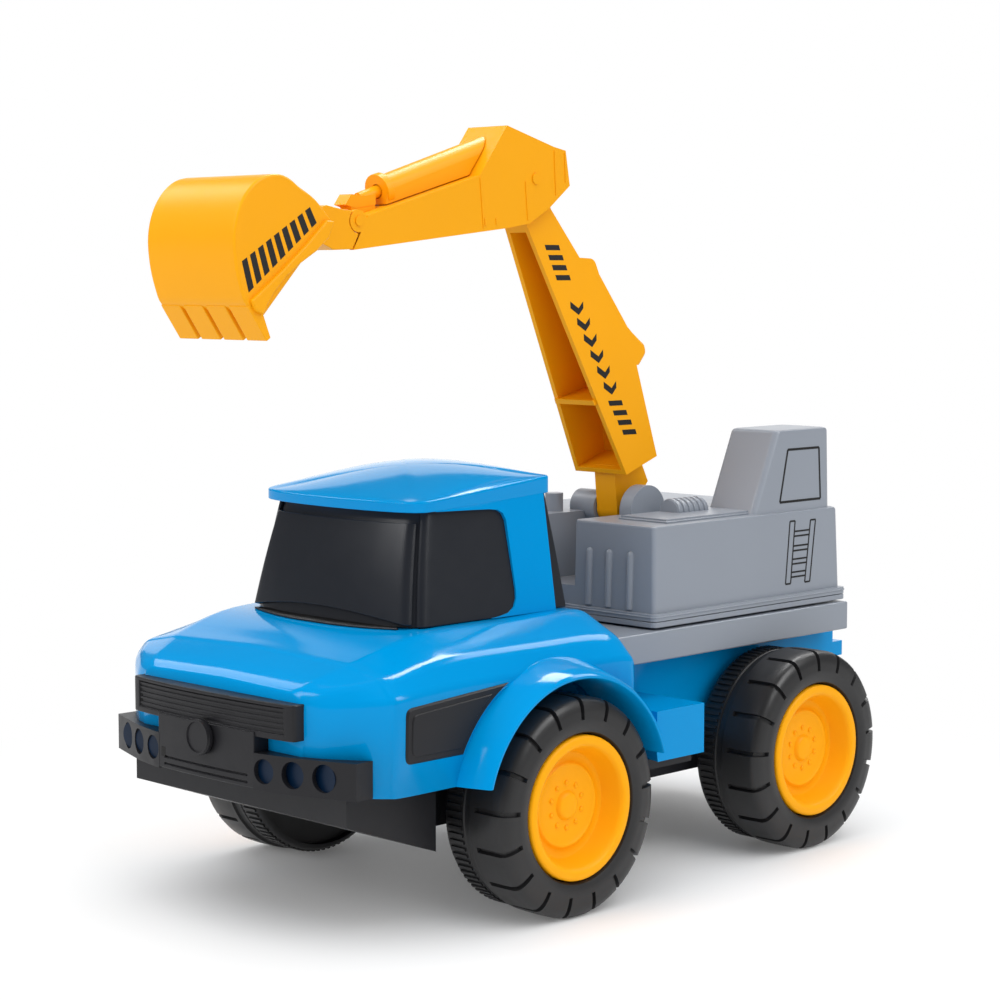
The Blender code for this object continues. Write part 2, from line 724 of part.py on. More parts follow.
def front_grille():
    back = BODY_STATIONS[4][0]
    bar_plan = mirrored(list(GRILLE_PLAN) + [(GRILLE_PLAN[-1][0], back), (0.0, back)])
    trim = prism_z("front_grille", bar_plan, GRILLE_LOW, GRILLE_HIGH)
    centre = ((0.0, CENTRE_FRONT), (CENTRE_X, CENTRE_FRONT + CENTRE_BOW), (CENTRE_X, back), (0.0, back))
    join(trim, prism_z("grille_centre", mirrored(centre), TRAY_TOP + GAP, GRILLE_LOW + LAP))
    bumper = mirrored(list(BUMPER_PLAN) + [(0.0, BUMPER_PLAN[-1][1])])
    join(trim, prism_z("bumper", bumper, BUMPER_LOW, BUMPER_HIGH))
    cut(trim, prism_z("nose_space", nose_plan(GAP), TRAY_TOP - OVER, GRILLE_HIGH + OVER))
    for side in (1, -1):
        for x, turn in zip(LAMP_X, LAMP_TURN_DEG):
            cut(trim, lamp_cutter(side * x, side * turn))
    return node(trim, "black")


def bumper_front(x):
    for (x0, y0), (x1, y1) in zip(BUMPER_PLAN, BUMPER_PLAN[1:]):
        if x0 <= x <= x1:
            return y0 + (y1 - y0) * (x - x0) / (x1 - x0)
    return BUMPER_PLAN[-1][1]


def lamp_cutter(x, turn_deg):
    """A round hole square to the bumper's front at x."""
    turn = math.radians(turn_deg)
    out = (math.sin(turn), -math.cos(turn))
    across = (math.cos(turn), math.sin(turn))
    middle_z = (BUMPER_LOW + BUMPER_HIGH) / 2
    sections = []
    for t in (-OVER, OVER):
        centre = (x + out[0] * t, bumper_front(abs(x)) + out[1] * t)
        ring = circle(LAMP_R, LAMP_STEPS)
        sections.append([(centre[0] + across[0] * a, centre[1] + across[1] * a, middle_z + b) for a, b in ring])
    return loft(f"lamp_{x:.0f}", sections)


def grille_badge():
    back = CENTRE_FRONT - GAP
    sections = [[(a, y, BADGE_Z + b) for a, b in circle(BADGE_R, 24)] for y in (back - BADGE_T, back)]
    return node(loft("grille_badge", sections), "black")


def step_block(side):
    front = BODY_STATIONS[-1][0] + GAP
    inner = FRAME_X - FRAME_WALL / 2
    return box(f"step_{side}", (side * inner, front, STEP_LOW), (side * STEP_X, STEP_BACK, STEP_HIGH))


def rear_frame():
    base = TRAY_TOP + GAP
    top = DECK_HIGH - DECK_WALL - GAP
    frame = box("rear_frame", (-FRAME_X, FRAME_FRONT, base), (FRAME_X, FRAME_REAR, top))
    for side in (1, -1):
        join(frame, step_block(side))
    tail_low = (-FRAME_X, FRAME_REAR - FRAME_WALL, TAIL_LOW)
    join(frame, box("tail", tail_low, (FRAME_X, TAIL_REAR, TAIL_HIGH)))
    hollow_low = (FRAME_WALL - FRAME_X, FRAME_FRONT + FRAME_WALL, base - OVER)
    hollow_high = (FRAME_X - FRAME_WALL, FRAME_REAR - FRAME_WALL, top - FRAME_WALL)
    posts = [(x, y) for x, y in screw_places() if y > FRAME_FRONT]
    cut(frame, box("frame_hollow", hollow_low, hollow_high))
    cut(frame, flare("step_clear", GAP))
    cut(frame, rod_z("frame_post_hole", (0.0, SWIVEL_Y), POST_R + GAP, top - FRAME_WALL - OVER, top + OVER))
    for x, y in posts:
        boss = rod_z(f"frame_boss_{x:.0f}", (x, y), SCREW_HEAD_R, base, top - FRAME_WALL / 2, SCREW_STEPS)
        join(frame, boss)
        hole_top = SCREW_TOP + GAP
        cut(frame, rod_z(f"frame_screw_hole_{x:.0f}", (x, y), SCREW_R + PRESS, base - OVER, hole_top, SCREW_STEPS))
    return node(frame, "blue")


def deck():
    front = BODY_STATIONS[-1][0] + GAP
    plate = box("deck", (-DECK_X, front, DECK_LOW), (DECK_X, DECK_REAR, DECK_HIGH))
    low = (DECK_WALL - DECK_X, front - OVER, DECK_LOW - OVER)
    high = (DECK_X - DECK_WALL, DECK_REAR - DECK_WALL, DECK_HIGH - DECK_WALL)
    cut(plate, box("deck_hollow", low, high))
    notch_low = (-FRAME_X - GAP, DECK_REAR - OVER, DECK_LOW - OVER)
    cut(plate, box("deck_tail_notch", notch_low, (FRAME_X + GAP, DECK_REAR + OVER, DECK_HIGH - DECK_WALL)))
    cut(plate, rod_z("deck_post_hole", (0.0, SWIVEL_Y), POST_R + GAP, DECK_LOW, DECK_HIGH + OVER))
    return node(plate, "grey")


def rounded_plan(low, high, radius):
    """A rectangle in X and Y with round corners."""
    corners = ((high[0], high[1], -1, -1), (low[0], high[1], 1, -1), (low[0], low[1], 1, 1), (high[0], low[1], -1, 1))
    points = []
    for quarter, (x, y, to_x, to_y) in enumerate(corners):
        for k in range(CORNER_STEPS + 1):
            angle = math.pi / 2 * (quarter + k / CORNER_STEPS)
            points.append((x + radius * (to_x + math.cos(angle)), y + radius * (to_y + math.sin(angle))))
    return points


def turret_plan(half_x, half_y, radius):
    return rounded_plan((-half_x, SWIVEL_Y - half_y), (half_x, SWIVEL_Y + half_y), radius)


def turret_base():
    low = DECK_HIGH + BASE_GAP
    plan = turret_plan(BASE_X, BASE_HALF_Y, BASE_ROUND)
    plate = loft("turret_base", [[(x, y, z) for x, y in plan] for z in (low, low + BASE_T)], SWIVEL)
    join(plate, rod_z("post", (0.0, SWIVEL_Y), POST_R, POST_LOW, low + BASE_T / 2))
    join(plate, rod_z("post_collar", (0.0, SWIVEL_Y), POST_R + POST_COLLAR, DECK_HIGH + GAP, low + BASE_T / 2))
    hole_top = POST_LOW + SCREW_LEN - LAP
    cut(plate, rod_z("post_screw_hole", (0.0, SWIVEL_Y), SCREW_R + PRESS, POST_LOW - OVER, hole_top, SCREW_STEPS))
    return node(plate, "grey")


def turret_retainer():
    high = POST_LOW - GAP
    disc = rod_z("turret_retainer", (0.0, SWIVEL_Y), RETAINER_R, high - RETAINER_T, high)
    cut(disc, rod_z("retainer_hole", (0.0, SWIVEL_Y), SCREW_R + RUN, high - OVER, high + OVER, SCREW_STEPS))
    return node(disc, "black")


def retainer_screw():
    head_top = POST_LOW - 2.0 * GAP - RETAINER_T
    tip = head_top + SCREW_LEN
    screw = rod_z("retainer_screw", (0.0, SWIVEL_Y), SCREW_R, head_top - SCREW_HEAD_T / 2, tip, SCREW_STEPS)
    head_low = head_top - SCREW_HEAD_T
    join(screw, rod_z("retainer_screw_head", (0.0, SWIVEL_Y), SCREW_HEAD_R, head_low, head_top, SCREW_STEPS))
    return node(screw, "steel")


def housing_block():
    rings = [[(x, y, HOUSING_LOW) for x, y in turret_plan(HOUSING_X, HOUSING_HALF_Y, HOUSING_ROUND)]]
    for inset, drop in edge_steps():
        plan = turret_plan(HOUSING_X - DRAFT - inset, HOUSING_HALF_Y - DRAFT - inset, HOUSING_ROUND)
        rings.append([(x, y, HOUSING_TOP - drop) for x, y in plan])
    return loft("turret_housing", rings, SWIVEL)


def edge_steps():
    """Insets and drops that round a top edge."""
    return ((0.0, TOP_ROUND), (ROUND_SHARE * TOP_ROUND, ROUND_SHARE * TOP_ROUND), (TOP_ROUND, 0.0))


def operator_ring(inset, z):
    share = (z - HOUSING_TOP) / (OPCAB_TOP_Z - HOUSING_TOP)

    def between(pair):
        return pair[0] + (pair[1] - pair[0]) * share

    back = SWIVEL_Y + HOUSING_HALF_Y
    low = (between(OPCAB_IN_X) + inset, between(OPCAB_FRONT) + inset)
    high = (HOUSING_X - between(OPCAB_SIDE_SET) - inset, back - between(OPCAB_BACK_SET) - inset)
    return [(x, y, z) for x, y in rounded_plan(low, high, OPCAB_ROUND)]


def operator_cab(name, wall, low):
    top = OPCAB_TOP_Z - wall
    rings = [operator_ring(wall, low)]
    rings += [operator_ring(wall + inset, top - drop) for inset, drop in edge_steps()]
    return loft(name, rings)


def turret_housing():
    shell = housing_block()
    rim_plan = turret_plan(BASE_X, BASE_HALF_Y, BASE_ROUND)
    join(shell, prism_z("housing_rim", rim_plan, HOUSING_LOW, HOUSING_LOW + RIM_T))
    join(shell, operator_cab("operator_cab", 0.0, HOUSING_TOP - LAP))
    join(shell, box("pad", (PAD_X[0], PAD_Y[0], HOUSING_TOP - LAP), (PAD_X[1], PAD_Y[1], HOUSING_TOP + PAD_T)))
    drum = [[(DRUM_X + a, y, HOUSING_TOP + PAD_T + b) for a, b in circle(DRUM_R, 20)] for y in DRUM_Y]
    join(shell, loft("drum", drum))
    for index, (x, y) in enumerate(BUMPS):
        join(shell, rod_z(f"bump_{index}", (x, y), BUMP_R, HOUSING_TOP - LAP, HOUSING_TOP + BUMP_H, 20))
    front = SWIVEL_Y - HOUSING_HALF_Y
    back = SWIVEL_Y + HOUSING_HALF_Y
    wall = HOUSING_WALL
    floor = HOUSING_LOW - OVER
    roof = HOUSING_TOP - wall
    pocket_x = (SLOT_X + wall, HOUSING_X - DRAFT - wall)
    for side in (1, -1):
        low = (side * pocket_x[0], front + DRAFT + wall, floor)
        cut(shell, box(f"pocket_{side}", low, (side * pocket_x[1], back - DRAFT - wall, roof)))
    cut(shell, box("rear_pocket", (-SLOT_X, SLOT_BACK + wall, floor), (SLOT_X, back - DRAFT - wall, roof)))
    cut(shell, box("floor_pocket", (-SLOT_X, front + wall, floor), (SLOT_X, SLOT_BACK - wall, SLOT_FLOOR - wall)))
    slot_front = SWIVEL_Y - BASE_HALF_Y - OVER
    cut(shell, box("slot", (-SLOT_X, slot_front, SLOT_FLOOR), (SLOT_X, SLOT_BACK, HOUSING_TOP + OVER)))
    cut(shell, operator_cab("operator_pocket", wall, roof - LAP))
    boss_x = TONGUE_X + GAP
    join(shell, rod_x("near_ear", BOOM_PIVOT, EAR_R, SLOT_X + GAP, EAR_OUT_X, 32))
    join(shell, rod_x("near_boss", BOOM_PIVOT, EAR_BOSS_R, boss_x, SLOT_X + LAP))
    join(shell, rod_x("far_ear", BOOM_PIVOT, FAR_EAR_R, -FAR_EAR_OUT_X, -boss_x))
    reach = BOOM_PIN_X + GAP
    cut(shell, rod_x("boom_pin_hole", BOOM_PIVOT, BOOM_PIN_R + PRESS, -reach, reach))
    return node(shell, "grey")


def boom_pin():
    return node(rod_x("boom_pin", BOOM_PIVOT, BOOM_PIN_R, -BOOM_PIN_X, BOOM_PIN_X, pivot=(0.0, *BOOM_PIVOT)), "steel")


def boom_half(y, z):
    """Half the boom's width at a point, tapering evenly from foot to head."""
    (y0, z0), (y1, z1) = BOOM_AXIS
    share = ((y - y0) * (y1 - y0) + (z - z0) * (z1 - z0)) / ((y1 - y0) ** 2 + (z1 - z0) ** 2)
    return BOOM_HALF_LOW + (BOOM_HALF_HIGH - BOOM_HALF_LOW) * share


def boom_prism(name, outline, inset, pivot=(0.0, 0.0, 0.0)):
    return loft(name, [[(side * (boom_half(y, z) - inset), y, z) for y, z in outline] for side in (-1, 1)], pivot)


def boom():
    arm = boom_prism("boom", list(BOOM_FRONT) + boom_head() + list(BOOM_BACK), 0.0, (0.0, *BOOM_PIVOT))
    cut(arm, boom_prism("boom_hollow", BOOM_HOLLOW, BOOM_WALL))
    join(arm, boom_prism("boom_rib", BOOM_RIB, BOOM_WALL / 2))
    join(arm, prism_x("tongue", TONGUE, -TONGUE_X, TONGUE_X))
    join(arm, rod_x("tongue_end", BOOM_PIVOT, TONGUE_R, EAR_SET - TONGUE_X, TONGUE_X - EAR_SET))
    cut(arm, boom_front_trim())
    cut(arm, rod_x("tongue_hole", BOOM_PIVOT, BOOM_PIN_R + RUN, -EAR_OUT_X, EAR_OUT_X))
    cut(arm, rod_x("head_hole", STICK_PIVOT, STICK_PIN_R + RUN, -EAR_OUT_X, EAR_OUT_X))
    return node(arm, "yellow")


def boom_front_trim():
    """Takes the rib back to the boom's open front."""
    (y0, z0), (y1, z1) = BOOM_FRONT
    y0, y1 = y0 - RIB_SET, y1 - RIB_SET
    outline = ((y0, z0), (y1, z1), (y1 - OVER, z1), (y0 - OVER, z0))
    return prism_x("boom_front_trim", outline, -BOOM_HALF_LOW - OVER, BOOM_HALF_LOW + OVER)


def boom_head():
    angles = [math.radians(a) for a in BOOM_HEAD_DEG]
    return [(STICK_PIVOT[0] + BOOM_HEAD_R * math.cos(a), STICK_PIVOT[1] + BOOM_HEAD_R * math.sin(a)) for a in angles]


def stick_pin():
    reach = STICK_X + PIN_PROUD
    return node(rod_x("stick_pin", STICK_PIVOT, STICK_PIN_R, -reach, reach, pivot=(0.0, *STICK_PIVOT)), "yellow")


def stick():
    arm = prism_x("stick", STICK_OUTLINE, -STICK_X, STICK_X, (0.0, *STICK_PIVOT))
    join(arm, rod_x("stick_ear", BUCKET_PIVOT, STICK_EAR_R, EAR_SET - STICK_X, STICK_X - EAR_SET))
    cut(arm, prism_x("stick_hollow", STICK_HOLLOW, STICK_WALL - STICK_X, STICK_X - STICK_WALL))
    cut(arm, rod_x("stick_pin_hole", STICK_PIVOT, STICK_PIN_R + PRESS, -EAR_OUT_X, EAR_OUT_X))
    cut(arm, rod_x("bucket_pin_hole", BUCKET_PIVOT, BUCKET_PIN_R + PRESS, -EAR_OUT_X, EAR_OUT_X))
    return node(arm, "yellow")


def ram_point(distance):
    """A point on the imitation cylinder's axis over the stick's top edge, measured back from its front end."""
    (y0, z0), (y1, z1) = STICK_OUTLINE[-1], STICK_OUTLINE[-2]
    along = unit(y1 - y0, z1 - z0)
    reach = RAM_AT + distance
    rise = RAM_RISE[0] + (RAM_RISE[1] - RAM_RISE[0]) * distance / RAM_LEN
    return y0 + along[0] * reach - along[1] * rise, z0 + along[1] * reach + along[0] * rise


def stick_cylinder():
    ram = rod_between("stick_cylinder", ram_point(0.0), ram_point(RAM_LEN), RAM_R, pivot=(0.0, *STICK_PIVOT))
    join(ram, rod_between("ram_collar", ram_point(-EAR_SET), ram_point(COLLAR_T), COLLAR_R))
    (y0, z0), (y1, z1) = ram_point(EAR_SET), ram_point(RAM_LEN - EAR_SET)
    foot = ((y0, z0), (y1, z1), (y1, z1 - 2.0 * RAM_R), (y0, z0 - 2.0 * RAM_R))
    join(ram, prism_x("ram_foot", foot, EAR_SET - RAM_R, RAM_R - EAR_SET))
    seat = [(y - GAP, z + GAP) for y, z in STICK_OUTLINE]
    cut(ram, prism_x("ram_seat", seat, -STICK_X - OVER, STICK_X + OVER))
    cut(ram, rod_between("ram_bore", ram_point(-OVER), ram_point(RAM_BORE_DEPTH), ROD_R + GAP))
    return node(ram, "yellow")


def stick_rod():
    front, back = ram_point(-ROD_REACH), ram_point(RAM_BORE_DEPTH - GAP)
    bar = rod_between("stick_rod", front, back, ROD_R, 16, (0.0, *STICK_PIVOT))
    join(bar, prism_x("rod_nose", NOSE, -NOSE_X, NOSE_X))
    return node(bar, "yellow")


def bucket_pin():
    reach = STICK_X + PIN_PROUD
    return node(rod_x("bucket_pin", BUCKET_PIVOT, BUCKET_PIN_R, -reach, reach, pivot=(0.0, *BUCKET_PIVOT)), "yellow")


def bucket():
    shell = prism_x("bucket", BUCKET_OUTER, -BUCKET_X, BUCKET_X, (0.0, *BUCKET_PIVOT))
    for side in (1, -1):
        join(shell, prism_x(f"lip_{side}", LIP, side * (BUCKET_X - BUCKET_WALL / 2), side * (BUCKET_X + LIP_PROUD)))
    join(shell, prism_x("neck", NECK, -STICK_X, STICK_X))
    tongue_x = STICK_X - STICK_WALL - GAP
    join(shell, prism_x("bucket_tongue", TONGUE_BAR, -tongue_x, tongue_x))
    join(shell, rod_x("bucket_tongue_end", BUCKET_PIVOT, STICK_EAR_R - GAP, -tongue_x, tongue_x))
    cut(shell, prism_x("bucket_hollow", BUCKET_INNER, BUCKET_WALL - BUCKET_X, BUCKET_X - BUCKET_WALL))
    width = (2.0 * BUCKET_X - (TEETH - 1) * TOOTH_GAP) / TEETH
    for index in range(TEETH):
        low = -BUCKET_X + index * (width + TOOTH_GAP)
        join(shell, prism_x(f"tooth_{index}", TOOTH, low, low + width))
    cut(shell, rod_x("bucket_hole", BUCKET_PIVOT, BUCKET_PIN_R + RUN, -STICK_X, STICK_X))
    return node(shell, "yellow")


clear_scene()
PARTS = new_collection("toy_digger_truck", False)
CUTTERS = new_collection("cutters", True)
ROOT = make_root()
SKINS = {
    "blue": material("blue_gloss_plastic", BLUE, 0.28, 0.0),
    "yellow": material("yellow_plastic", YELLOW, 0.38, 0.0),
    "grey": material("grey_plastic", GREY, 0.45, 0.0),
    "black": material("black_trim_plastic", BLACK, 0.5, 0.0),
    "glass": material("black_window_plastic", GLASS, 0.15, 0.0),
    "tyre": material("tyre_plastic", TYRE, 0.55, 0.0),
    "rim": material("rim_plastic", YELLOW, 0.4, 0.0),
    "steel": material("steel", STEEL, 0.35, 1.0),
}
FRONT_AXLE = (0.0, WHEEL_R)
REAR_AXLE = (WHEELBASE, WHEEL_R)
AXLES = (("front", FRONT_AXLE, FRONT_FACE_X), ("rear", REAR_AXLE, REAR_FACE_X))
SWIVEL = (0.0, SWIVEL_Y, DECK_HIGH)
POST_LOW = DECK_HIGH - DECK_WALL - GAP - FRAME_WALL - 2.0 * GAP
HOUSING_LOW = DECK_HIGH + BASE_GAP + BASE_T + GAP
SCREW_TOP = TRAY_TOP - TRAY_WALL - GAP - SCREW_HEAD_T + SCREW_LEN

for axle_name, axle_place, wheel_face in AXLES:
    wheel_set(axle_name, axle_place, wheel_face)
chassis_tray()
tray_screws()
body_shell()
side_vents()
cab_frame()
window_insert()
front_grille()
grille_badge()
rear_frame()
deck()
turret_base()
turret_retainer()
retainer_screw()
turret_housing()
boom_pin()
boom()
stick_pin()
stick()
stick_cylinder()
stick_rod()
bucket_pin()
bucket()
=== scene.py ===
# Looks of the toy digger truck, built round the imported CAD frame.
# Sizes are millimetres in the truck's own frame: the front axle is at Y 0, forward is -Y
# and the ground is Z 0.
import math

import bmesh
import bpy
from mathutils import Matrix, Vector

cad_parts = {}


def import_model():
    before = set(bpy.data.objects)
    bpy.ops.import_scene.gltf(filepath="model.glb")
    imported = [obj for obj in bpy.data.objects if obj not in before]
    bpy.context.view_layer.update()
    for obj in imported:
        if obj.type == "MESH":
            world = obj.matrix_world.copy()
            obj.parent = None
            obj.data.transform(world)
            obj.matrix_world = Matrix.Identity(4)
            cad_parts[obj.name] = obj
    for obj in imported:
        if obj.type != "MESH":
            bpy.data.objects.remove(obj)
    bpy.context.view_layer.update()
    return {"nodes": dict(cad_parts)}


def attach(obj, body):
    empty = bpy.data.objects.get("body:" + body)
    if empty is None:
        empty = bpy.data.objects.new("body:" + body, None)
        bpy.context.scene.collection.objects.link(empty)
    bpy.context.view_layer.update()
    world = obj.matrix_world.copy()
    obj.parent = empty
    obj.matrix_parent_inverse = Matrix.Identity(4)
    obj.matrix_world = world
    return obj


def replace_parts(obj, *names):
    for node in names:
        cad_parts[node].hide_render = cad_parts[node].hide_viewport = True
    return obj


MM = 0.001
CENTRE_Y = 56.65

# Camera, solved from the wheel ellipses in the photograph
CAMERA_AT = (738.4, -696.8, 258.3)
CAMERA_AZIMUTH_DEG = 44.69
CAMERA_ELEVATION_DEG = 5.36
CAMERA_LENS = 86.4
SENSOR = 36.0
CAMERA_CLIP = (0.01, 50.0)

# Colours, linear
BLUE = (0.0, 0.28, 0.65)
YELLOW = (0.95, 0.40, 0.003)
GREY = (0.265, 0.293, 0.34)
BLACK = (0.013, 0.013, 0.0155)
WINDOW = (0.015, 0.017, 0.022)
TYRE = (0.015, 0.015, 0.016)
STEEL = (0.55, 0.56, 0.58)
INK = (0.006, 0.006, 0.006)
# Painted shade: the next colour is for the dark discs set inside the lamp holes in place of the
# shadow there
PAINTED_LAMP_SHADE = (0.0, 0.010, 0.032)
FLOOR = (0.95, 0.95, 0.95)
WHITE = (1.0, 1.0, 1.0, 1.0)

# Finishes: material, colour, roughness and its spread, grain, shine, metal
FINISHES = {
    "blue": ("blue_gloss", BLUE, 0.1, 0.02, 0.01, 0.12),
    "yellow": ("yellow_satin", YELLOW, 0.36, 0.05, 0.04, 0.14),
    "rim": ("rim_satin", YELLOW, 0.42, 0.05, 0.05, 0.1),
    "grey": ("grey_satin", GREY, 0.34, 0.06, 0.05, 0.36),
    "black": ("black_trim_satin", BLACK, 0.42, 0.07, 0.06, 0.28),
    "window": ("black_window_gloss", WINDOW, 0.3, 0.04, 0.01, 0.3),
    "tyre": ("tyre_satin", TYRE, 0.4, 0.08, 0.08, 0.4),
    "steel": ("steel", STEEL, 0.34, 0.08, 0.05, 0.5, 1.0),
    # Painted shade: the finish of the dark discs that stand for the shadow inside the lamp holes
    "lens": ("lamp_hole_painted_shade", PAINTED_LAMP_SHADE, 0.4, 0.05, 0.03, 0.2),
    "ink": ("print_ink", INK, 0.5, 0.05, 0.03, 0.3),
}

# Noise is given as scale and detail, a span of tones as shares of the colour
TONE_NOISE = (14.0, 3.0)
TONE_SPAN = (0.94, 1.06)
GLOSS_NOISE = (160.0, 4.0)
SKIN_NOISE = (900.0, 2.0)
SKIN_DEPTH = 0.0002
FLOOR_NOISE = (2.0, 2.0)
FLOOR_SPAN = (0.985, 1.0)
FLOOR_ROUGHNESS = 0.6
FLOOR_SHINE = 0.2
FLOOR_HALF = 6.0

# Body sections: Y, side X, side top Z, shoulder X and Z, crown edge X and Z, crown Z
BODY_LOW = 60.35
BODY_STATIONS = (
    (-107.5, 50, 93.5, 48.5, 97.5, 45, 99.5, 100.5),
    (-105, 57, 94.5, 54.5, 99.6, 47, 101.6, 102.6),
    (-100.5, 64.5, 95.5, 61, 101.4, 49, 104, 105),
    (-95.5, 72, 96.6, 67, 103, 51, 106, 107.2),
    (-90, 78.5, 97.6, 71.5, 104.4, 53, 108, 109.4),
    (-84, 81, 98.6, 74, 105.8, 55, 110, 111.4),
    (-54, 81, 100, 74.5, 109.4, 57.5, 117.2, 118),
    (0, 81, 100, 75, 109.6, 58, 118, 118),
    (38, 81, 100, 75, 109, 57, 118, 118),
    (49, 79.5, 98, 71.5, 105.5, 52, 113.6, 114.4),
    (55, 71, 95, 66, 102, 48, 110.6, 111.6),
)
BODY_STEPS = 6
CROWN = slice(5, 8)
BODY_WALL = 3.0
CORNERS = (2.2, 3.4, 2.2)
CORNER_STEPS = 5
NOSE_ROUND = 0.7
NOSE_SHARE = 0.985
BACK_PLATE_Y = (51.4, 53.4)
BACK_PLATE_SHARE = 0.97
FRONT_AXLE = (0.0, 45.0)
REAR_AXLE = (161.6, 45.0)
ARCH_R = 53.0
ARCH_STEPS = 48
ARCH_X = (55.0, 120.0)
FLARE_PROFILE = (
    (66, 52.2), (94.6, 52.2), (95.4, 52.7), (95.5, 53.6), (94.6, 54.5), (88, 56.6), (82, 58.3),
    (79, 59.2), (74, 59.6), (66, 59.6),
)
FLARE_STEPS = 64

# Cab
CAB_FLOOR = 118.35
ROOF_LOW = 163.5
ROOF_RISE = 3.6
ROOF_Y = (-50.0, 34.0)
ROOF_MIDDLE_Y = sum(ROOF_Y) / 2
ROOF_PLAN = (
    (0, -50), (16, -49.5), (30, -48.2), (41, -46), (46.5, -43.4), (49, -39), (48.7, -24),
    (47.7, -2), (46.2, 18), (45.5, 27), (45.3, 31), (44.8, 32.8), (43, 33.6), (30, 33.8), (0, 34),
)
PLAN_STEPS = 3
ROOF_SIDE_X = 40.0
ROOF_RINGS = (
    (0.996, 0), (1, 0.25), (1, 0.6), (1, 4.7), (1, 5.1), (0.998, 5.4), (0.993, 5.65), (0.988, 5.8),
)
ROOF_CROWN = (0.975, 0.95, 0.92, 0.88, 0.82, 0.74, 0.64, 0.52, 0.38, 0.22, 0.06)
ROOF_CROWN_H = 7.6
ROOF_CROWN_EDGE = 0.99
ROOF_CROWN_POWER = 0.75
ROOF_HALF = (49.0, 42.0)
ROOF_LEAN = 0.28
PILLAR_LOW_X = 52.6
PILLAR_T = 3.0
PILLAR_REAR = ((118.4, 29.9), (167.0, 29.7))
PILLAR_FRONT = (
    (118.4, -8), (118.9, -3), (119.8, 2), (121.8, 5.2), (125.2, 6.8), (129, 7), (141, 6), (153, 5),
    (157.6, 4.6), (160.6, 3), (162.2, 0), (162.8, -5), (163.2, -14), (163.6, -26), (163.9, -36),
    (164.5, -38.5), (167.3, -39),
)
PILLAR_COLUMNS = 6
REAR_WINDOW = ((118.4, 50.4, 40.4), (142.0, 47.2, 37.4), (167.6, 43.6, 33.8))
REAR_WINDOW_T = 9.0
REAR_WINDOW_ROUND = 2.0
GLASS_LOW = (
    (0, -57), (16, -56.6), (30, -55.3), (41, -53.2), (46.5, -51), (49.8, -48.2), (51.2, -44.5),
    (51.4, -38), (51.5, -15), (51.6, 6.85), (49.2, 6.85), (49.2, 36.6), (0, 36.6),
)
GLASS_TOP = (
    (0, -45.5), (14, -45), (26, -44), (37, -42.2), (41.8, -40.3), (44.4, -38), (45.6, -35),
    (45.8, -29), (45.8, -10), (45.5, 3.85), (43, 3.85), (43, 33.1), (0, 33.1),
)
GLASS_ROWS = 8
GLASS_BULGE = 1.2
BULGE_FROM_Y = -40.0
BULGE_OVER = 17.0
GLASS_GAP = 0.4
GLASS_SINK = 1.4
GLASS_MIDDLE_Y = -10.0
PANEL_T = 1.6
PANEL_ROUND = 0.7
SCREEN_LOW = (
    (0, -56.9), (16, -56.5), (30, -55.2), (40, -53.3), (44.6, -52), (46.3, -51), (47, -49.8),
    (47.2, -48.6),
)
SCREEN_TOP = (
    (0, -45.4), (14, -44.9), (26, -43.9), (34, -42.6), (38, -41.6), (39.6, -40.8), (40.3, -39.8),
    (40.5, -38.6),
)
SCREEN_SHARES = (0.02, 0.12, 0.9)
SIDE_LOW = (
    (48.6, -46.4), (49.8, -46.2), (50.6, -45.2), (51, -43.2), (51.1, -38), (51.1, -15), (51.1, 8.4),
)
SIDE_TOP = (
    (42.6, -38.2), (43.8, -37.9), (44.4, -36.8), (44.7, -34.6), (44.8, -29), (44.8, -10),
    (44.8, 5.4),
)
SIDE_SHARES = (0.0, 0.0, 1.0)
COWL_HALF = 44.0
COWL_BACK = -53.0
COWL_FRONT = -60.7
COWL_LIFT = 0.5
COWL_T = 1.0
COWL_LIP_R = 0.5
COWL_COLUMNS = 24
COWL_SHARES = (-0.4, 0.0, 0.35, 0.7, 1.0)

# Wheels: inward from the outer face, radius, then how far a slot goes inward and down
LUGS = 17
LUG_HALF_DEG = 9.1
SLOT_EDGE_DEG = 0.35
LUG_SHARES = (-1.0, -0.5, 0.0, 0.5, 1.0)
DOWN_DEG = -90.0
TYRE_PROFILE = (
    (2.2, 30.25, 0, 0), (0.9, 31, 0, 0), (0.35, 32.6, 0, 0), (0.1, 34.6, 0, 0), (0.1, 36, 0, 0),
    (0.15, 36.4, 1.5, 0), (0.3, 39, 1.6, 0), (0.7, 41.4, 1.6, -0.6), (1.5, 43.2, 1.4, -1.2),
    (2.6, 44.3, 0.7, -1.5), (4.2, 44.9, 0, -1.7), (9, 45, 0, -1.7), (16.5, 44.95, 0, -1.7),
    (16.9, 44.9, 0, 0), (19.4, 44.8, 0, 0), (20, 43.8, 0, 0), (21, 43.5, 0, 0), (23.4, 43.5, 0, 0),
    (24, 42.9, 0, 0), (24.5, 43.4, 0, 0), (33.8, 43.2, 0, 0), (35.4, 42.5, 0, 0),
    (36.3, 41.6, 0, 0), (36.5, 40.3, 0, 0), (5, 40.3, 0, 0), (5, 30.25, 0, 0),
)
BAND_RIBS = 90
BAND_ENDS = (25.4, 33.2)
BAND_R = (42.9, 44.0)
BAND_SHARES = ((0.0, 0), (0.42, 0), (0.5, 1), (0.92, 1))
